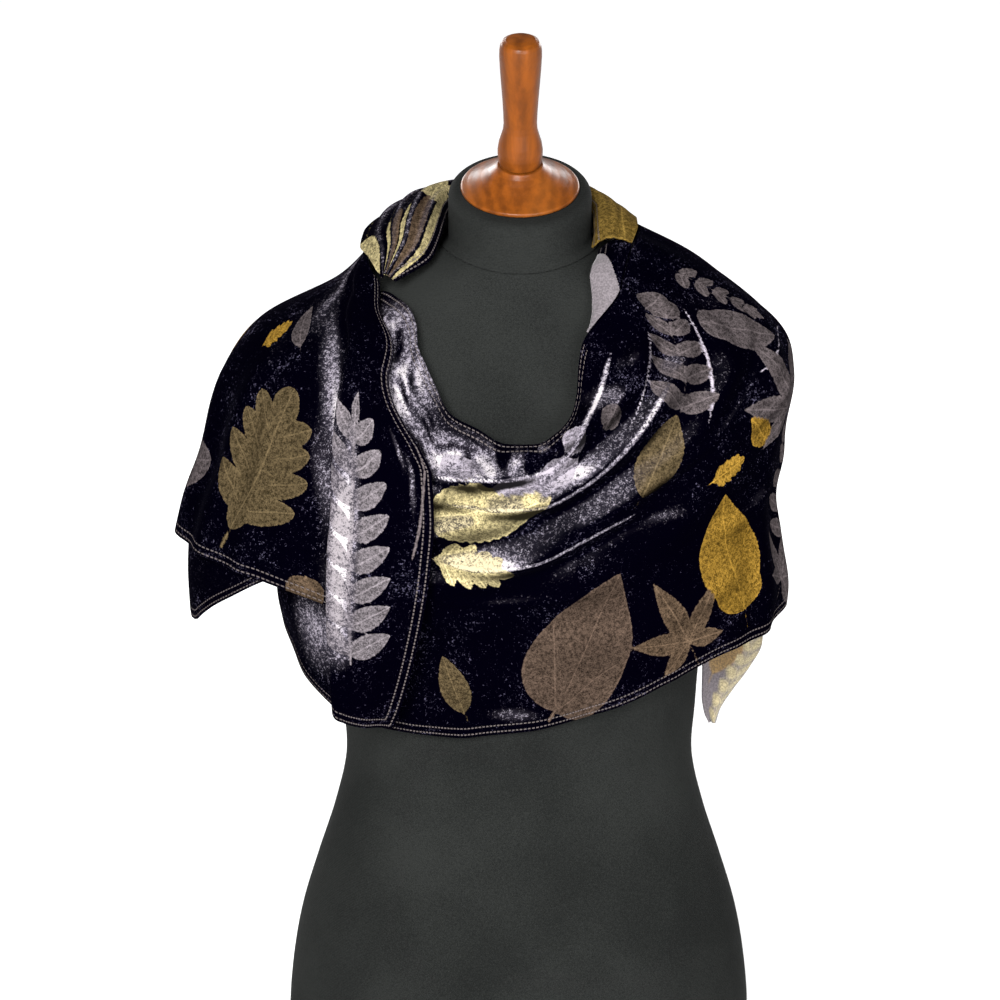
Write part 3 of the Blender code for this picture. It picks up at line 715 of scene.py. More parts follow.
# distance in from the nearest hem, and the run along it; hems are named by side of the grid
def hemPlaces(points, sides):
    u, v = flatPlaces(points)
    distance = {"top": v, "bottom": v[-1:] - v}
    acrossStep = np.linalg.norm(np.diff(points, axis=1), axis=-1)
    nought = np.zeros((points.shape[0], 1))
    distance["start"] = np.concatenate([nought, acrossStep.cumsum(axis=1)], axis=1)
    distance["end"] = np.concatenate([acrossStep[:, ::-1].cumsum(axis=1)[:, ::-1], nought], axis=1)
    run = {"top": u, "bottom": u, "start": v, "end": v}
    hemIn, hemAlong = np.full(u.shape, noHem), np.zeros(u.shape)
    for side in sides:
        nearer = distance[side] < hemIn
        hemIn = np.where(nearer, distance[side], hemIn)
        hemAlong = np.where(nearer, run[side], hemAlong)
    return hemIn, hemAlong


# mean over a window of rows and columns, from running sums
def blurred(values, window):
    for axis in (0, 1):
        n = values.shape[axis]
        nought = np.zeros_like(np.take(values, [0], axis))
        sums = np.concatenate([nought, values.cumsum(axis=axis)], axis=axis)
        low, high = np.maximum(np.arange(n) - window, 0), np.minimum(np.arange(n) + window + 1, n)
        count = (high - low).reshape((-1, 1) if axis == 0 else (1, -1))
        values = (np.take(sums, high, axis) - np.take(sums, low, axis)) / count
    return values


# painted light and shade on folds: how much more a point faces the painted light's way than the cloth around
# it
def foldLight(points, window=12):
    normal = np.cross(np.gradient(points, axis=0), np.gradient(points, axis=1))
    normal /= np.linalg.norm(normal, axis=-1, keepdims=True) + 1e-9
    facing = normal @ np.array(velvetLook["paintLightWay"])
    return facing - blurred(facing, window)


# stretch of cloth from a grid of points: values for the material, then a wall of even thickness; the painted
# sheen highlight grows with the painted light on the folds, and bare places show no stitches
def clothPiece(name, node, look, points, materials, paintedSheen, printed, hems, slot="velvet", inside=1, **extra):
    rows, columns = points.shape[:2]
    piece = meshFrom(name, points.reshape(-1, 3), gridFaces(rows, columns).tolist())
    edge, alongIt, acrossIt, colour = printed
    hemIn, hemAlong = hemPlaces(points, hems)
    hemIn = np.where(extra.get("bare", False), noHem, hemIn)
    shade = foldLight(points)
    # painted sheen highlight: more where a fold faces the painted light, and some more on every fold that
    # faces it
    gain, begin = velvetLook["sheenOnFolds"]
    paintedSheen = paintedSheen * (1 + velvetLook["sheenByLight"] * shade) + gain * clamp(shade - begin)
    paintedSheen = np.clip(paintedSheen, 0, velvetLook["sheenMost"])
    values = {"leafEdge": edge, "leafAlong": alongIt, "leafAcross": acrossIt, "paintedSheen": paintedSheen, "shade": shade,
              "hemIn": hemIn, "hemAlong": hemAlong, "rollIn": extra.get("rollIn", farOff)}
    for key, value in values.items():
        addValues(piece, key, np.broadcast_to(value, edge.shape).ravel())
    addValues(piece, "leafColour", colour.reshape(-1, 3))
    skin = piece.modifiers.new("wall", "SOLIDIFY")
    skin.thickness = velvetLook["wall"] * mm
    skin.offset = 0.0
    skin.use_rim = True
    skin.material_offset = inside if len(materials) > 1 else 0
    finished(piece, node, materials)
    print("made", name, "of", rows, "x", columns, "points")
    return piece


# soft patches of painted sheen highlight: strength times a bell curve each way
def highlightPatches(first, second, rows):
    total = np.zeros(np.broadcast(first, second).shape)
    for middle, height, halfAcross, halfHeight, strength in rows:
        total = total + strength * bump(first - middle, halfAcross) * bump(second - height, halfHeight)
    return total


# finds the grid point nearest to a place: least sum of squares, the first way stretched by scale
def nearestIn(first, second, scale=1.0):
    def find(a, b):
        away = ((first - a) * scale) ** 2 + (second - b) ** 2
        return np.unravel_index(np.argmin(away), first.shape)

    return find


# stretch across the chest
chest = {
    "flat": (0.626, 0.269), "columns": 300, "rows": 150,  # flat cut in metres, then the grid
    # azimuth (0 in front, plus to the right), top height, hem height
    "edges": [
        (100, 689, 398), (88, 689, 397), (76, 686, 388), (66, 680, 384), (57, 672, 380), (48, 661, 374),
        (40, 649, 365), (33, 640, 356), (27, 632, 347), (20, 620, 338), (15.5, 603, 334), (12.5, 583, 331),
        (10.5, 569, 329), (7.5, 558, 326), (3, 550, 322), (-3, 551, 319), (-9, 561, 317), (-15, 570, 315),
        (-20, 587, 315), (-26, 603, 315), (-31, 614, 316), (-36, 628, 317), (-42, 638, 319),
        (-49, 644, 322), (-58, 648, 330), (-67, 640, 344), (-77, 618, 362), (-88, 600, 384),
        (-100, 592, 400),
    ],
    # folds that swing across: right and left azimuth, right and left height, sag, half width, lift
    "swags": [
        (46, -34, 655, 512, 36, 11, 13), (52, -44, 640, 478, 46, 12, 12), (60, -46, 628, 436, 52, 15, 11),
        (66, -34, 560, 412, 38, 20, 5), (84, 30, 640, 520, 10, 16, 4),
    ],
    "fineSwags": [
        (36, -30, 640, 486, 42, 4.2, 2.4), (64, 6, 604, 488, 14, 5.0, 2.2), (56, 14, 652, 590, 8, 5.0, 2.4),
        (74, 30, 640, 560, 8, 6.0, 2.6), (84, 44, 610, 540, 10, 7.0, 2.4), (80, 40, 520, 470, 12, 8.0, 2.0),
        (20, -22, 446, 436, 8, 4.0, 1.4), (60, 20, 450, 400, 8, 9.0, 1.6),
    ],
    # rolled folds: line of (azimuth, height), lift, half width
    "rolls": [
        ([(-24, 531), (-17, 527), (-5, 526), (4.3, 531), (9, 542), (14, 568), (24, 607), (34, 630)],
         3.0, 4.5),
        ([(-22, 511), (-5, 506), (4, 508), (11.5, 519), (22.5, 551), (30, 577), (42, 612)], 3.4, 4.5),
        ([(-22, 468), (-10, 462), (0, 466), (5, 470), (13, 483), (23, 498), (34, 508)], 2.6, 5.0),
    ],
    # beside the neck edge: distance in, half width, lift, azimuths where they begin and end
    "rimFolds": [
        (13, 3.6, 4.2, -56, -6), (24, 4.2, 3.6, -50, 12), (6, 2.6, 1.6, -30, 40), (34, 4.6, 2.8, -40, 16),
    ],
    # top and bottom height, top and bottom azimuth, half width, lift
    "falls": [(640, 430, 72, 66, 15, 5), (600, 380, 88, 84, 14, 4)],
    "fineFalls": [
        (652, 560, -52, -30, 3.6, 3.4), (648, 545, -46, -22, 3.2, 2.6), (640, 540, -38, -17, 3.0, 2.2),
        (450, 330, 52, 56, 12, 2.0), (430, 330, 8, 10, 16, 1.5), (420, 322, -12, -10, 10, 1.2),
        (400, 330, 34, 36, 10, 1.4),
    ],
    # kind, azimuth, height, turn, length, bend, colour
    "leaves": [
        ("heart", 8, 346, 28, 128, 0, "mauve"), ("star", 38, 390, -30, 64, 0, "brown"),
        ("broad", 56, 408, -14, 100, 0.05, "gold"), ("stem", 56, 410, 166, 20, 0, "gold"),
        ("pointed", -20, 496, 78, 98, -0.06, "cream"), ("oak", -19, 466, 96, 62, 0, "cream"),
        ("broad", -16, 538, 96, 34, 0, "lilac"), ("round", -6, 520, 84, 34, 0, "lilac"),
        ("broad", 3, 520, 60, 40, 0, "lilac"), ("round", 9, 546, 40, 26, 0, "lilac"),
        ("round", 17, 560, 36, 22, 0, "grey"), ("pointed", 25, 512, 28, 66, 0, "olive"),
        ("oak", 44, 516, 66, 34, 0, "gold"), ("star", 72, 560, -24, 70, 0, "grey"),
        ("spray", 33, 560, 24, 116, 0.06, "grey"), ("broad", 54, 628, 118, 64, 0, "grey"),
        ("round", 84, 600, 160, 56, 0, "grey"), ("broad", 63, 540, -50, 34, 0, "gold"),
        ("spray", 66, 664, 160, 70, 0, "grey"), ("round", 44, 640, 70, 30, 0, "grey"),
        ("stem", 40, 560, 22, 110, 0.05, "lilac"), ("stem", 22, 560, 40, 90, 0, "lilac"),
        ("stem", 60, 590, 66, 70, 0, "lilac"), ("pointed", -14, 338, -20, 52, 0, "olive"),
        ("round", -44, 590, 20, 44, 0, "lilac"), ("spray", 88, 440, -6, 100, 0, "grey"),
        ("star", 78, 420, 40, 54, 0, "grey"),
    ],
    # painted sheen highlight: azimuth, height, half extents, strength; the narrow negative ones cut dark gaps
    # into it
    "highlightPatches": [
        (-28, 580, 9, 36, 0.95), (-46, 620, 12, 22, 0.9), (-14, 545, 9, 14, 0.9), (4, 532, 10, 8, 0.6),
        (-16, 480, 10, 10, 0.4), (-57, 388, 10, 34, 0.75), (-8, 466, 14, 5, 0.4), (-2, 336, 7, 7, 0.5),
        (20, 580, 5, 8, 0.3), (36, 602, 14, 6, 0.25), (62, 640, 14, 8, 0.2), (30, 496, 8, 4, 0.2),
        (-3.5, 542, 1.3, 15, -0.9), (2, 538, 1.0, 11, -0.9), (-11, 536, 1.2, 12, -0.8),
        (7, 545, 1.0, 9, -0.8), (-8, 500, 1.4, 8, -0.6), (2, 512, 1.4, 6, -0.5),
    ],
    "swagSheen": (-11, 510, 22, 60, 0.34),  # painted sheen highlight on the ridges of the upper two swags
    "from": -100, "to": 100,
    "turnedFrom": 20,  # azimuth past which the neck edge is turned back and shows no stitches
}


# sum of all its folds
def chestLift(azimuth, height):
    own = chest
    lift = velvetLook["lift"] + unevenness(azimuth, height)
    lift = lift + swags(azimuth, height, own["swags"] + own["fineSwags"])
    lift = lift + falls(azimuth, height, own["falls"]) + shortFalls(azimuth, height, own["fineFalls"])
    lift = lift + edgeFolds(azimuth, height, own["edges"], own["rimFolds"])
    return lift + rolls(azimuth, height, own["rolls"])[0]


# cape surface with every fold added up; the painted sheen highlight is strongest on the upper swags
def makeChest(materials):
    own = chest
    azimuth, height, share = pieceGrid(own)
    points = draped(azimuth, height, chestLift(azimuth, height), outer=False)
    ridges = swags(azimuth, height, own["swags"][:2]) / own["swags"][0][-1]
    paintedSheen = highlightPatches(azimuth, height, own["highlightPatches"])
    paintedSheen = paintedSheen + highlightPatches(azimuth, height, [own["swagSheen"]]) * ridges**2
    printed = paintLeaves(points, own["leaves"], nearestIn(azimuth, height), -1)
    rollIn = rolls(azimuth, height, own["rolls"])[1]
    bare = (azimuth > own["turnedFrom"]) & (share < 0.5)
    clothPiece("scarf_chest", "scarf_front", own, points, materials, paintedSheen, printed, ("top", "bottom"),
               rollIn=rollIn, bare=bare)


# end that hangs over the left shoulder, with a long S-shaped pleat
hangingEnd = {
    "flat": (0.328, 0.240), "rows": 150, "backAzimuth": -100.0,
    "shares": (0.30, 0.55),  # way across at the pleat's fold and at its end
    "counts": (60, 44, 96),  # columns up to the fold, in the pleat and past it
    "reach": 165.0,  # mm that turn the pleat's widths into degrees
    "swing": (22, 0.1),  # mm that the S swings past its ends, and its growth with the overlap
    "crease": (1.4, 0.55, 0.16),  # along the inner strip: lift, share of its width, half width
    "creaseFrom": (660, 80),  # height below which the crease begins, mm over which it grows
    "edgeAzimuth": -60.0, "leastStrip": 6,  # where the edge's reach is read, least width in degrees
    "backFade": 14.0,  # degrees over which the falls fade out towards the back
    # inner edge: height, distance left of the axis
    "edge": [
        (690, 104), (656, 104), (626, 111), (598, 109), (581, 101), (566, 90), (548, 75), (532, 66),
        (498, 64), (467, 66), (435, 70), (386, 79), (343, 90), (327, 96),
    ],
    # pleat: height, azimuth of its fold, overlap, step, lift of the inner edge
    "pleat": [
        (690, -86, -40, 2, 2), (660, -70, -36, 4, 3), (620, -42, -30, 8, 4), (579, -35, -16, 11, 3),
        (520, -32, 2, 12, 3), (450, -30, 18, 13, 3), (380, -29, 30, 14, 2), (320, -29, 34, 14, 2),
    ],
    # share of the way across from the inner edge, height
    "hem": [
        (0.00, 327), (0.30, 337), (0.42, 378), (0.55, 412), (0.64, 433), (0.75, 446), (0.88, 454),
        (1.00, 459),
    ],
    "top": [(0.00, 656), (0.15, 663), (0.30, 670), (0.55, 677), (0.80, 683), (1.00, 689)],
    # top and bottom height, top and bottom azimuth, half width, lift
    "falls": [
        (640, 440, -62, -66, 13, 5), (620, 430, -84, -80, 16, 4), (610, 470, -74, -73, 14, -2),
        (640, 420, -55, -52, 7, 3),
    ],
    # kind, share across, height, turn, length, bend, colour
    "leaves": [
        ("oak", 0.74, 476, 24, 128, 0.04, "olive"), ("fern", 0.252, 392, -2, 196, 0.02, "pearl"),
        ("broad", 0.90, 590, -36, 44, 0, "gold"), ("pointed", 0.62, 610, -30, 46, 0, "grey"),
        ("round", 0.97, 500, 70, 52, 0, "grey"), ("oak", 0.735, 606, 40, 36, 0, "gold"),
        ("heart", 0.63, 446, 190, 34, 0, "brown"), ("stem", 0.06, 470, 8, 90, 0, "grey"),
    ],
    # painted sheen highlight: share across, height, half extents, strength; a negative one takes it away
    "highlightPatches": [
        (0.600, 640, 0.035, 22, 0.5), (0.545, 604, 0.026, 30, 0.62), (0.548, 562, 0.024, 26, 0.62),
        (0.585, 520, 0.020, 34, 0.6), (0.275, 520, 0.034, 44, 0.85), (0.268, 455, 0.040, 50, 0.95),
        (0.275, 400, 0.034, 36, 0.35), (0.280, 350, 0.05, 36, -0.45), (0.68, 620, 0.05, 40, 0.2),
        (0.86, 655, 0.12, 16, 0.35), (0.66, 664, 0.08, 14, 0.5), (0.012, 600, 0.012, 60, 0.4),
        (0.066, 525, 0.010, 20, 0.7), (0.09, 548, 0.010, 14, 0.6), (0.97, 560, 0.05, 60, 0.2),
        (0.60, 440, 0.02, 40, 0.35), (0.05, 430, 0.02, 70, 0.16),
    ],
}


# its falls, fading out towards the back
def hangingLift(azimuth, height):
    flat = clamp((azimuth - hangingEnd["backAzimuth"]) / hangingEnd["backFade"])
    return velvetLook["lift"] + falls(azimuth, height, hangingEnd["falls"]) * flat


# from the inner edge to the pleat's fold, then back under it on a Bezier S, then round to the
# back; the lift steps up to the fold and falls again under it
def makeHangingEnd(materials):
    foldShare, endShare = hangingEnd["shares"]
    strip, pleat, panel = hangingEnd["counts"]
    inFold = np.linspace(foldShare, endShare, pleat + 2)[1:-1]
    share = np.concatenate([np.linspace(0, foldShare, strip), inFold, np.linspace(endShare, 1, panel)])
    hem, top = along(hangingEnd["hem"], 0, 1, share), along(hangingEnd["top"], 0, 1, share)
    down = np.linspace(0, 1, hangingEnd["rows"])[:, None]
    height = blend(top, hem, down)
    edgeLevel = capeLevel(np.full(height.shape, hangingEnd["edgeAzimuth"]), height, True)
    reach = smoothColumn(capeRings, 5, edgeLevel)
    edge = -np.degrees(np.arcsin(np.clip(along(hangingEnd["edge"], 0, 1, height) / reach, 0, 0.97)))
    fold = np.minimum(along(hangingEnd["pleat"], 0, 1, height), edge - hangingEnd["leastStrip"])
    overlap, step, edgeLift = (along(hangingEnd["pleat"], 0, c, height) for c in (2, 3, 4))
    degreesPerMm = math.degrees(1 / hangingEnd["reach"])
    under = fold + overlap * degreesPerMm
    least, growth = hangingEnd["swing"]
    swing = (least + growth * np.abs(overlap)) * degreesPerMm
    t = clamp(share / foldShare)[None, :]
    s = clamp((share - foldShare) / (endShare - foldShare))[None, :]
    bend = bezier(s, fold, fold - swing, under + swing, under)
    q = clamp((share - endShare) / (1 - endShare))[None, :]
    inPleat, inPanel = (share > foldShare)[None, :], (share >= endShare)[None, :]
    azimuth = np.where(inPleat, bend, blend(edge, fold, t))
    azimuth = np.where(inPanel, blend(under, hangingEnd["backAzimuth"], q), azimuth)
    lift, middle, halfWidth = hangingEnd["crease"]
    begin, over = hangingEnd["creaseFrom"]
    crease = lift * bump(t - middle, halfWidth) * clamp((begin - height) / over)
    stripLift = velvetLook["lift"] + blend(edgeLift, step, smoothStep(t)) + crease
    pleatLift = velvetLook["lift"] + step * (1 - smoothStep(s))
    lift = np.where(inPleat, pleatLift, stripLift)
    lift = np.where(inPanel, hangingLift(azimuth, height), lift)
    points = draped(azimuth, height, lift, outer=True)[:, ::-1]
    shares, heights = np.broadcast_to(share[::-1], height.shape), height[:, ::-1]
    paintedSheen = highlightPatches(shares, heights, hangingEnd["highlightPatches"])
    printed = paintLeaves(points, hangingEnd["leaves"], nearestIn(shares, heights, 300), 0)
    clothPiece("scarf_hanging_end", "scarf_left_end", hangingEnd, points, materials, paintedSheen, printed,
               ("end", "bottom"))


# stretch across the back, its folds in the style of the front
backStretch = {
    "flat": (0.526, 0.297), "columns": 230, "rows": 130, "from": 100.02, "to": 259.98,
    "endFade": (18, 18),  # degrees over which the folds begin and end
    "foldSheen": (14, 0.55),  # lift at which a fold's painted sheen highlight is full, its strength
    # azimuth, top height, hem height
    "edges": [
        (100, 692, 398), (120, 694, 392), (150, 697, 388), (180, 699, 390), (210, 698, 398),
        (240, 697, 424), (260, 698, 452),
    ],
    # top and bottom height, top and bottom azimuth, half width, lift
    "falls": [
        (690, 405, 128, 118, 18, 7), (680, 400, 152, 146, 20, 6), (690, 398, 178, 180, 18, 7),
        (680, 405, 204, 210, 20, 6), (680, 425, 232, 238, 18, 7),
    ],
    "fineFalls": [
        (690, 470, 140, 134, 7, 2.0), (690, 480, 166, 163, 7, 2.0), (690, 470, 196, 198, 7, 2.0),
        (690, 500, 220, 226, 7, 2.0),
    ],
    # right and left azimuth, right and left height, sag, half width, lift
    "swags": [(118, 242, 610, 610, 60, 16, 5), (124, 236, 560, 560, 62, 18, 5)],
    # kind, azimuth, height, turn, length, bend, colour
    "leaves": [
        ("star", 150, 440, 10, 84, 0, "mauve"), ("spray", 178, 420, -20, 150, 0.1, "lilac"),
        ("heart", 212, 600, 150, 90, 0, "olive"), ("pointed", 128, 540, 40, 90, 0, "gold"),
        ("oak", 238, 470, 20, 96, 0, "cream"), ("round", 196, 640, 80, 60, 0, "grey"),
        ("fern", 224, 430, -14, 140, 0, "grey"), ("oak", 168, 620, 60, 60, 0, "olive"),
        ("pointed", 118, 430, 10, 80, 0, "grey"), ("spray", 108, 580, 30, 90, 0, "grey"),
        ("broad", 192, 452, 200, 62, 0, "gold"), ("stem", 140, 600, 60, 120, 0.2, "lilac"),
        ("stem", 200, 560, -50, 130, -0.2, "lilac"),
    ],
    # painted sheen highlight: azimuth, height, half extents, strength
    "highlightPatches": [
        (150, 600, 12, 40, 0.4), (180, 520, 10, 60, 0.4), (212, 620, 12, 30, 0.4), (130, 470, 8, 50, 0.35),
        (240, 560, 8, 50, 0.35),
    ],
}


# cape surface with its folds added up, fading out at both ends
def makeBack(materials):
    own = backStretch
    azimuth, height, _ = pieceGrid(own)
    folds = falls(azimuth, height, own["falls"]) + swags(azimuth, height, own["swags"])
    folds = folds + shortFalls(azimuth, height, own["fineFalls"])
    begin, end = own["edges"][0][0], own["edges"][-1][0]
    ends = between(azimuth, begin, end, own["endFade"])
    points = draped(azimuth, height, velvetLook["lift"] + folds * ends, outer=True)
    full, most = own["foldSheen"]
    # painted sheen highlight in patches and on the fold ridges
    paintedSheen = highlightPatches(azimuth, height, own["highlightPatches"]) + most * (folds / full) ** 1.3
    printed = paintLeaves(points, own["leaves"], nearestIn(azimuth, height), 0)
    clothPiece("scarf_across_back", "scarf_back", own, points, materials, paintedSheen, printed, ("bottom",))


# folded edge round the neck, bunched on the left
gathers = {
    "flat": (0.334, 0.056), "columns": 260, "rows": 70,
    # share of the way round from the right; inner, crest and outer x, y and height
    "sections": [
        (0.00, 54, -37, 681, 59, -39, 687, 84, -37, 685),
        (0.10, 56.6, -14, 690, 59, -14, 701, 89, -12, 693), (0.20, 56.6, 10, 697, 59, 10, 708, 89, 12, 695),
        (0.31, 45, 38, 702, 48, 41, 717, 70, 60, 693), (0.45, 8, 58, 706, 9, 62, 721, 13, 88, 689),
        (0.59, -36, 46, 704, -40, 50, 720, -62, 76, 691), (0.69, -55, 20, 698, -62, 22, 716, -100, 42, 694),
        (0.78, -58, -4, 692, -68, -2, 710, -119, 8, 685),
        (0.87, -62, -26, 682, -73, -24, 702, -121, -12, 677.3),
        (0.94, -67, -41, 673, -79, -40, 688, -114, -30, 672.3),
        (1.00, -93, -59, 659.5, -98, -58, 662, -104, -55, 661),
    ],
    # share of the way across, half width, lift
    "pleats": [(0.22, 0.07, 3.5), (0.45, 0.07, 5.0), (0.66, 0.06, 5.0), (0.85, 0.05, 4.0)],
    # kind, mm round from the right, mm across, turn, length, bend, colour
    "leaves": [
        ("round", -30, 28, 90, 170, 0, "amber"), ("pointed", 142, 26, 96, 62, 0, "brown"),
        ("oak", 214, 24, 84, 46, 0, "cream"),
    ],
    # stripes along the pleats: share round, share across, half extents, colour
    "stripes": [
        (0.86, 0.14, 0.20, 0.045, "cream"), (0.87, 0.32, 0.17, 0.100, "brown"),
        (0.90, 0.53, 0.13, 0.035, "cream"), (0.90, 0.63, 0.10, 0.040, "brown"),
        (0.93, 0.72, 0.09, 0.022, "cream"), (0.92, 0.95, 0.07, 0.090, "cream"),
    ],
    "width": 56,  # mm across, for the stripes' edges
    "bunched": (0.5, 0.25), "closing": 0.25,  # shares of the way round: begin and growth, end's length
    "leastPleat": 0.15, "leastFan": 0.30,  # what is left of the pleats on the right and at the end
    "pull": (1.4, 0.35), "puff": 5.0,  # how far the section is drawn to its crest and outer edge, rise
    "paintedSheen": (0.08, 0.32),  # painted sheen highlight: least, and more on the pleats
}


# stripes: lens-shaped, their half width falling off as a half circle along the pleats
def paintStripes(around, across, printed):
    edge, alongIt, acrossIt, colour = printed
    for atRound, atAcross, halfRound, halfAcross, tone in gathers["stripes"]:
        lens = np.sqrt(clamp(1 - ((around - atRound) / halfRound) ** 2))
        deep = (halfAcross * lens - np.abs(across - atAcross)) * gathers["width"]
        colour = np.where((deep > edge)[..., None], printColours[tone], colour)
        acrossIt = np.where(deep > edge, farOff, acrossIt)
        edge = np.maximum(edge, deep)
    return edge, alongIt, acrossIt, colour


# Bezier section from the inner edge over the crest to the outer edge at each share of the way
# round, raised by the pleats, which grow on the left and close up at its end
def makeGathers(materials):
    own = gathers
    around = np.linspace(0, 1, own["columns"])
    sections = np.stack([along(own["sections"], 0, n, around) for n in range(1, 10)], axis=-1)[None]
    inner, crest, outer = sections[..., 0:3], sections[..., 3:6], sections[..., 6:9]
    t = np.linspace(0, 1, own["rows"])[:, None, None]
    rise = np.array([0.0, 0.0, 1.0])
    toCrest, toOuter = own["pull"]
    third = blend(crest, outer, toOuter) + own["puff"] * rise
    points = bezier(t, inner, blend(inner, crest, toCrest), third, outer)
    begin, growth = own["bunched"]
    gathered = clamp((around - begin) / growth)[None, :]
    fan = blend(own["leastFan"], 1, clamp((1 - around) / own["closing"])[None, :])
    across = t[..., 0] + 0 * around
    pleats = sum(lift * bump(across - middle, width) for middle, width, lift in own["pleats"])
    points = points + (pleats * blend(own["leastPleat"], 1, gathered) * fan)[..., None] * rise
    printed = paintStripes(around[None, :], across, paintLeaves(points, own["leaves"]))
    least, more = own["paintedSheen"]
    # painted sheen highlight, more on the pleats' ridges
    paintedSheen = least + more * (pleats / own["pleats"][1][2]) * gathered
    clothPiece("scarf_neck_gathers", "scarf_collar", own, points, materials, paintedSheen, printed, ("top",))


# corner that shows under the hanging end
lowerCorner = {
    "flat": (0.162, 0.110), "columns": 70, "rows": 60, "from": -94.7, "to": -42,
    "tuck": 12.0, "under": 1.4, "paintedSheen": 0.12,  # how far its hem falls in, depth below the end above it, even painted sheen highlight
    # azimuth, top height, hem height
    "edges": [
        (-42, 520, 446), (-50, 527, 431), (-58, 534, 415), (-66, 540, 401), (-72, 544, 391),
        (-77, 545, 384.5), (-81.5, 545, 384), (-86, 545, 390), (-90, 545, 400), (-94.7, 545, 416),
    ],
}


# follows the end above it at its top and falls in towards its hem
def makeLowerCorner(materials):
    azimuth, height, share = pieceGrid(lowerCorner)
    held = hangingLift(azimuth, height) - velvetLook["lift"] - lowerCorner["under"]
    lift = blend(held, -lowerCorner["tuck"], smoothStep(share))
    points = draped(azimuth, height, lift, outer=True)
    clothPiece("scarf_corner_below", "scarf_under_corner", lowerCorner, points, materials, lowerCorner["paintedSheen"],
               plainPrint(points), ("bottom", "start"))


# fold of the back hem that droops under the right arm, pale side out
droop = {
    "flat": (0.045, 0.141), "columns": 40, "rows": 60, "top": 425, "tip": 289, "ripple": 3.0, "ripples": 1.1,
    # kind, mm across and down, turn, length, bend, colour
    # the cream fern is print showing through, and along the outer edge it also stands for painted wavy
    # highlights on the fold
    "leaves": [("fern", 35, 142, 6, 100, 0, "cream"), ("pointed", 12, 98, 24, 52, 0, "gold")],
    # height, inner x, outer x, inner y, outer y
    "sections": [
        (425, 152, 194.6, 14, 30), (396, 150, 193, 14, 29), (372, 147, 195, 13, 27),
        (350, 146, 194, 12, 26), (330, 146, 184, 11, 24), (312, 146, 170, 10, 19), (298, 148, 160, 9, 13),
        (289, 152, 157, 8, 10),
    ],
}


# straight across between its inner and outer edge, with a sine ripple
def makeDroop(materials):
    own = droop
    height = np.linspace(own["top"], own["tip"], own["rows"])[:, None]
    share = np.linspace(0, 1, own["columns"])[None, :]
    innerX, outerX, innerY, outerY = (along(own["sections"], 0, c, height) for c in range(1, 5))
    ripple = own["ripple"] * np.sin(share * own["ripples"] * 2 * math.pi)
    x, y = blend(innerX, outerX, share), blend(innerY, outerY, share) + ripple
    points = np.stack([x, y, height + 0 * share], axis=-1)
    printed = paintLeaves(points, own["leaves"])
    clothPiece("scarf_drooping_fold", "scarf_back_tail", own, points, materials, 0.0, printed,
               ("bottom", "end"), "velvet_wrong_side")


# turned-back neck edge on the right
lapel = {
    "flat": (0.100, 0.018), "columns": 160, "rows": 28, "from": 23, "to": 68, "puff": 5.0,
    "pointed": 22,  # degrees over which it narrows to its lower tip
    "rightSideFrom": (60.0, 42.0),  # azimuth past which its right side shows, inner edge and fold
    # azimuth of the fold, inner x, y and height
    "sections": [
        (68, 60, -24, 677), (58, 58, -37, 674), (48, 54, -50, 669), (40, 50, -60, 654), (33, 46, -69, 640),
        (27, 43, -78, 626), (20, 40, -88, 614),
    ],
}


# strip from the chest's neck edge to its own inner edge, puffed up by a sine, narrowing to a tip;
# the limit of its pale side goes evenly from the inner edge's azimuth to the fold's
def makeLapel(materials):
    azimuth = np.linspace(lapel["from"], lapel["to"], lapel["columns"])
    height = along(chest["edges"], 0, 1, azimuth) + 0.5
    fold = draped(azimuth, height, chestLift(azimuth, height), outer=False)
    inner = np.stack([along(lapel["sections"], 0, c, azimuth) for c in (1, 2, 3)], axis=-1)
    share = np.linspace(0, 1, lapel["rows"])[:, None, None]
    taper = clamp((azimuth - lapel["from"] + 1) / lapel["pointed"])[None, :, None] ** 0.8
    points = blend(blend(fold, inner, taper), fold, share)
    points = points + np.array([0.0, 0.0, lapel["puff"]]) * np.sin(math.pi * share) * taper
    piece = clothPiece("scarf_turned_back_edge", "scarf_turned_edge", lapel, points, materials, 0.0,
                       plainPrint(points), ("top",), "velvet_wrong_side", inside=0)
    limit = np.linspace(*lapel["rightSideFrom"], lapel["rows"] - 1)[:, None]
    rightSide = (azimuth[None, :-1] > limit).astype(np.int32)
    piece.data.polygons.foreach_set("material_index", rightSide.ravel())


# pale studio with four soft lights and the camera
studio = {
    "pitch": 15.0, "distance": 2.4, "target": (-0.0152, 0.0, 0.475), "mmPerPixel": 0.78,  # camera
    "floorHalf": 60.0, "floorColour": (0.6, 0.6, 0.6, 1),
    "glow": (0.2, 4.0, 0.34, 0.9),  # floor: near and far distance in metres, glow at each
    "sky": (0.2, 0.34, 1.0, 0.12),  # low and high direction, strength at each
    # name, place in metres, size, power
    "lights": [
        ("key", (-0.6, -2.6, 1.6), 1.0, 184), ("fill", (1.0, -2.5, 1.0), 1.2, 60),
        ("back left", (-1.3, 2.2, 1.7), 1.2, 70), ("back right", (1.3, 2.2, 1.5), 1.2, 50),
    ],
    "aim": (0, 0, 0.5),
}


# soft square lights, each aimed at the same point
def makeLights():
    for name, where, size, power in studio["lights"]:
        data = bpy.data.lights.new(name, "AREA")
        data.size = size
        data.energy = power
        lamp = bpy.data.objects.new(name, data)
        lamp.location = where
        lamp.rotation_euler = (Vector(studio["aim"]) - Vector(where)).to_track_quat("-Z", "Y").to_euler()
        bpy.context.scene.collection.objects.link(lamp)


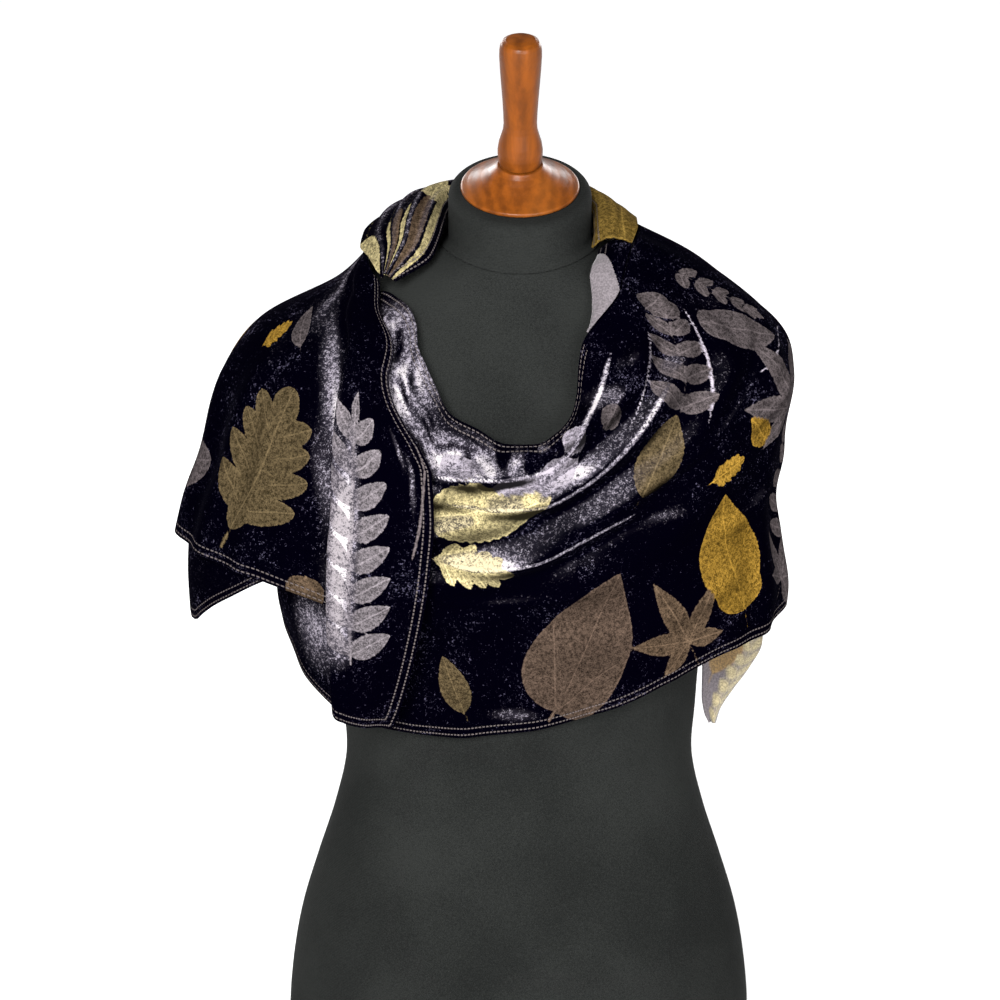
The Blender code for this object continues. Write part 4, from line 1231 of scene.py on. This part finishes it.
# pale floor that glows far off, where the lights don't reach it
def makeFloor():
    half = studio["floorHalf"] / mm
    corners = np.array([(-half, -half, 0), (half, -half, 0), (half, half, 0), (-half, half, 0)])
    floor = meshFrom("floor", corners, [(0, 1, 2, 3)])
    n = Nodes("floor_paint")
    away = n.put("ShaderNodeVectorMath", {"operation": "LENGTH"}, i0=n.place()).outputs["Value"]
    glow = n.step(away, *studio["glow"])
    paint = {"Emission_Color": (1, 1, 1, 1), "Emission_Strength": glow}
    floor.data.materials.append(n.finish(Base_Color=studio["floorColour"], Roughness=0.9, **paint))


# white near the horizon, dim above
def makeSky():
    world = bpy.data.worlds.new("studio")
    world.use_nodes = True
    tree = world.node_tree
    split = tree.nodes.new("ShaderNodeSeparateXYZ")
    fade = tree.nodes.new("ShaderNodeMapRange")
    for socket, value in zip(list(fade.inputs)[1:5], studio["sky"]):
        socket.default_value = value
    background = tree.nodes["Background"]
    background.inputs["Color"].default_value = (1, 1, 1, 1)
    tree.links.new(tree.nodes.new("ShaderNodeTexCoord").outputs["Generated"], split.inputs[0])
    tree.links.new(split.outputs["Z"], fade.inputs[0])
    tree.links.new(fade.outputs[0], background.inputs["Strength"])
    bpy.context.scene.world = world


# looks down at the pitch, with a lens that gives the wanted size of a pixel
def makeCamera():
    camera = bpy.data.objects.new("camera", bpy.data.cameras.new("camera"))
    pitch = math.radians(studio["pitch"])
    back = Vector((0, -math.cos(pitch), math.sin(pitch)))
    camera.location = Vector(studio["target"]) + back * studio["distance"]
    camera.rotation_mode = "QUATERNION"
    camera.rotation_quaternion = (-back).to_track_quat("-Z", "Y")
    camera.data.sensor_width = 36.0
    camera.data.lens = camera.data.sensor_width * studio["distance"] / studio["mmPerPixel"]
    bpy.context.scene.collection.objects.link(camera)
    bpy.context.scene.camera = camera
    bpy.context.scene.view_settings.view_transform = "Standard"


makeForm(makeCover())
makeWoodParts()
velvet = makeVelvet()
wrongSide = makeWrongSide()
print("velvet made")
for makeStretch in (makeChest, makeHangingEnd, makeBack, makeGathers, makeLowerCorner):
    makeStretch([velvet, wrongSide])
makeDroop([wrongSide])
makeLapel([wrongSide, velvet])
makeLights()
makeFloor()
makeSky()
makeCamera()
print("studio made")
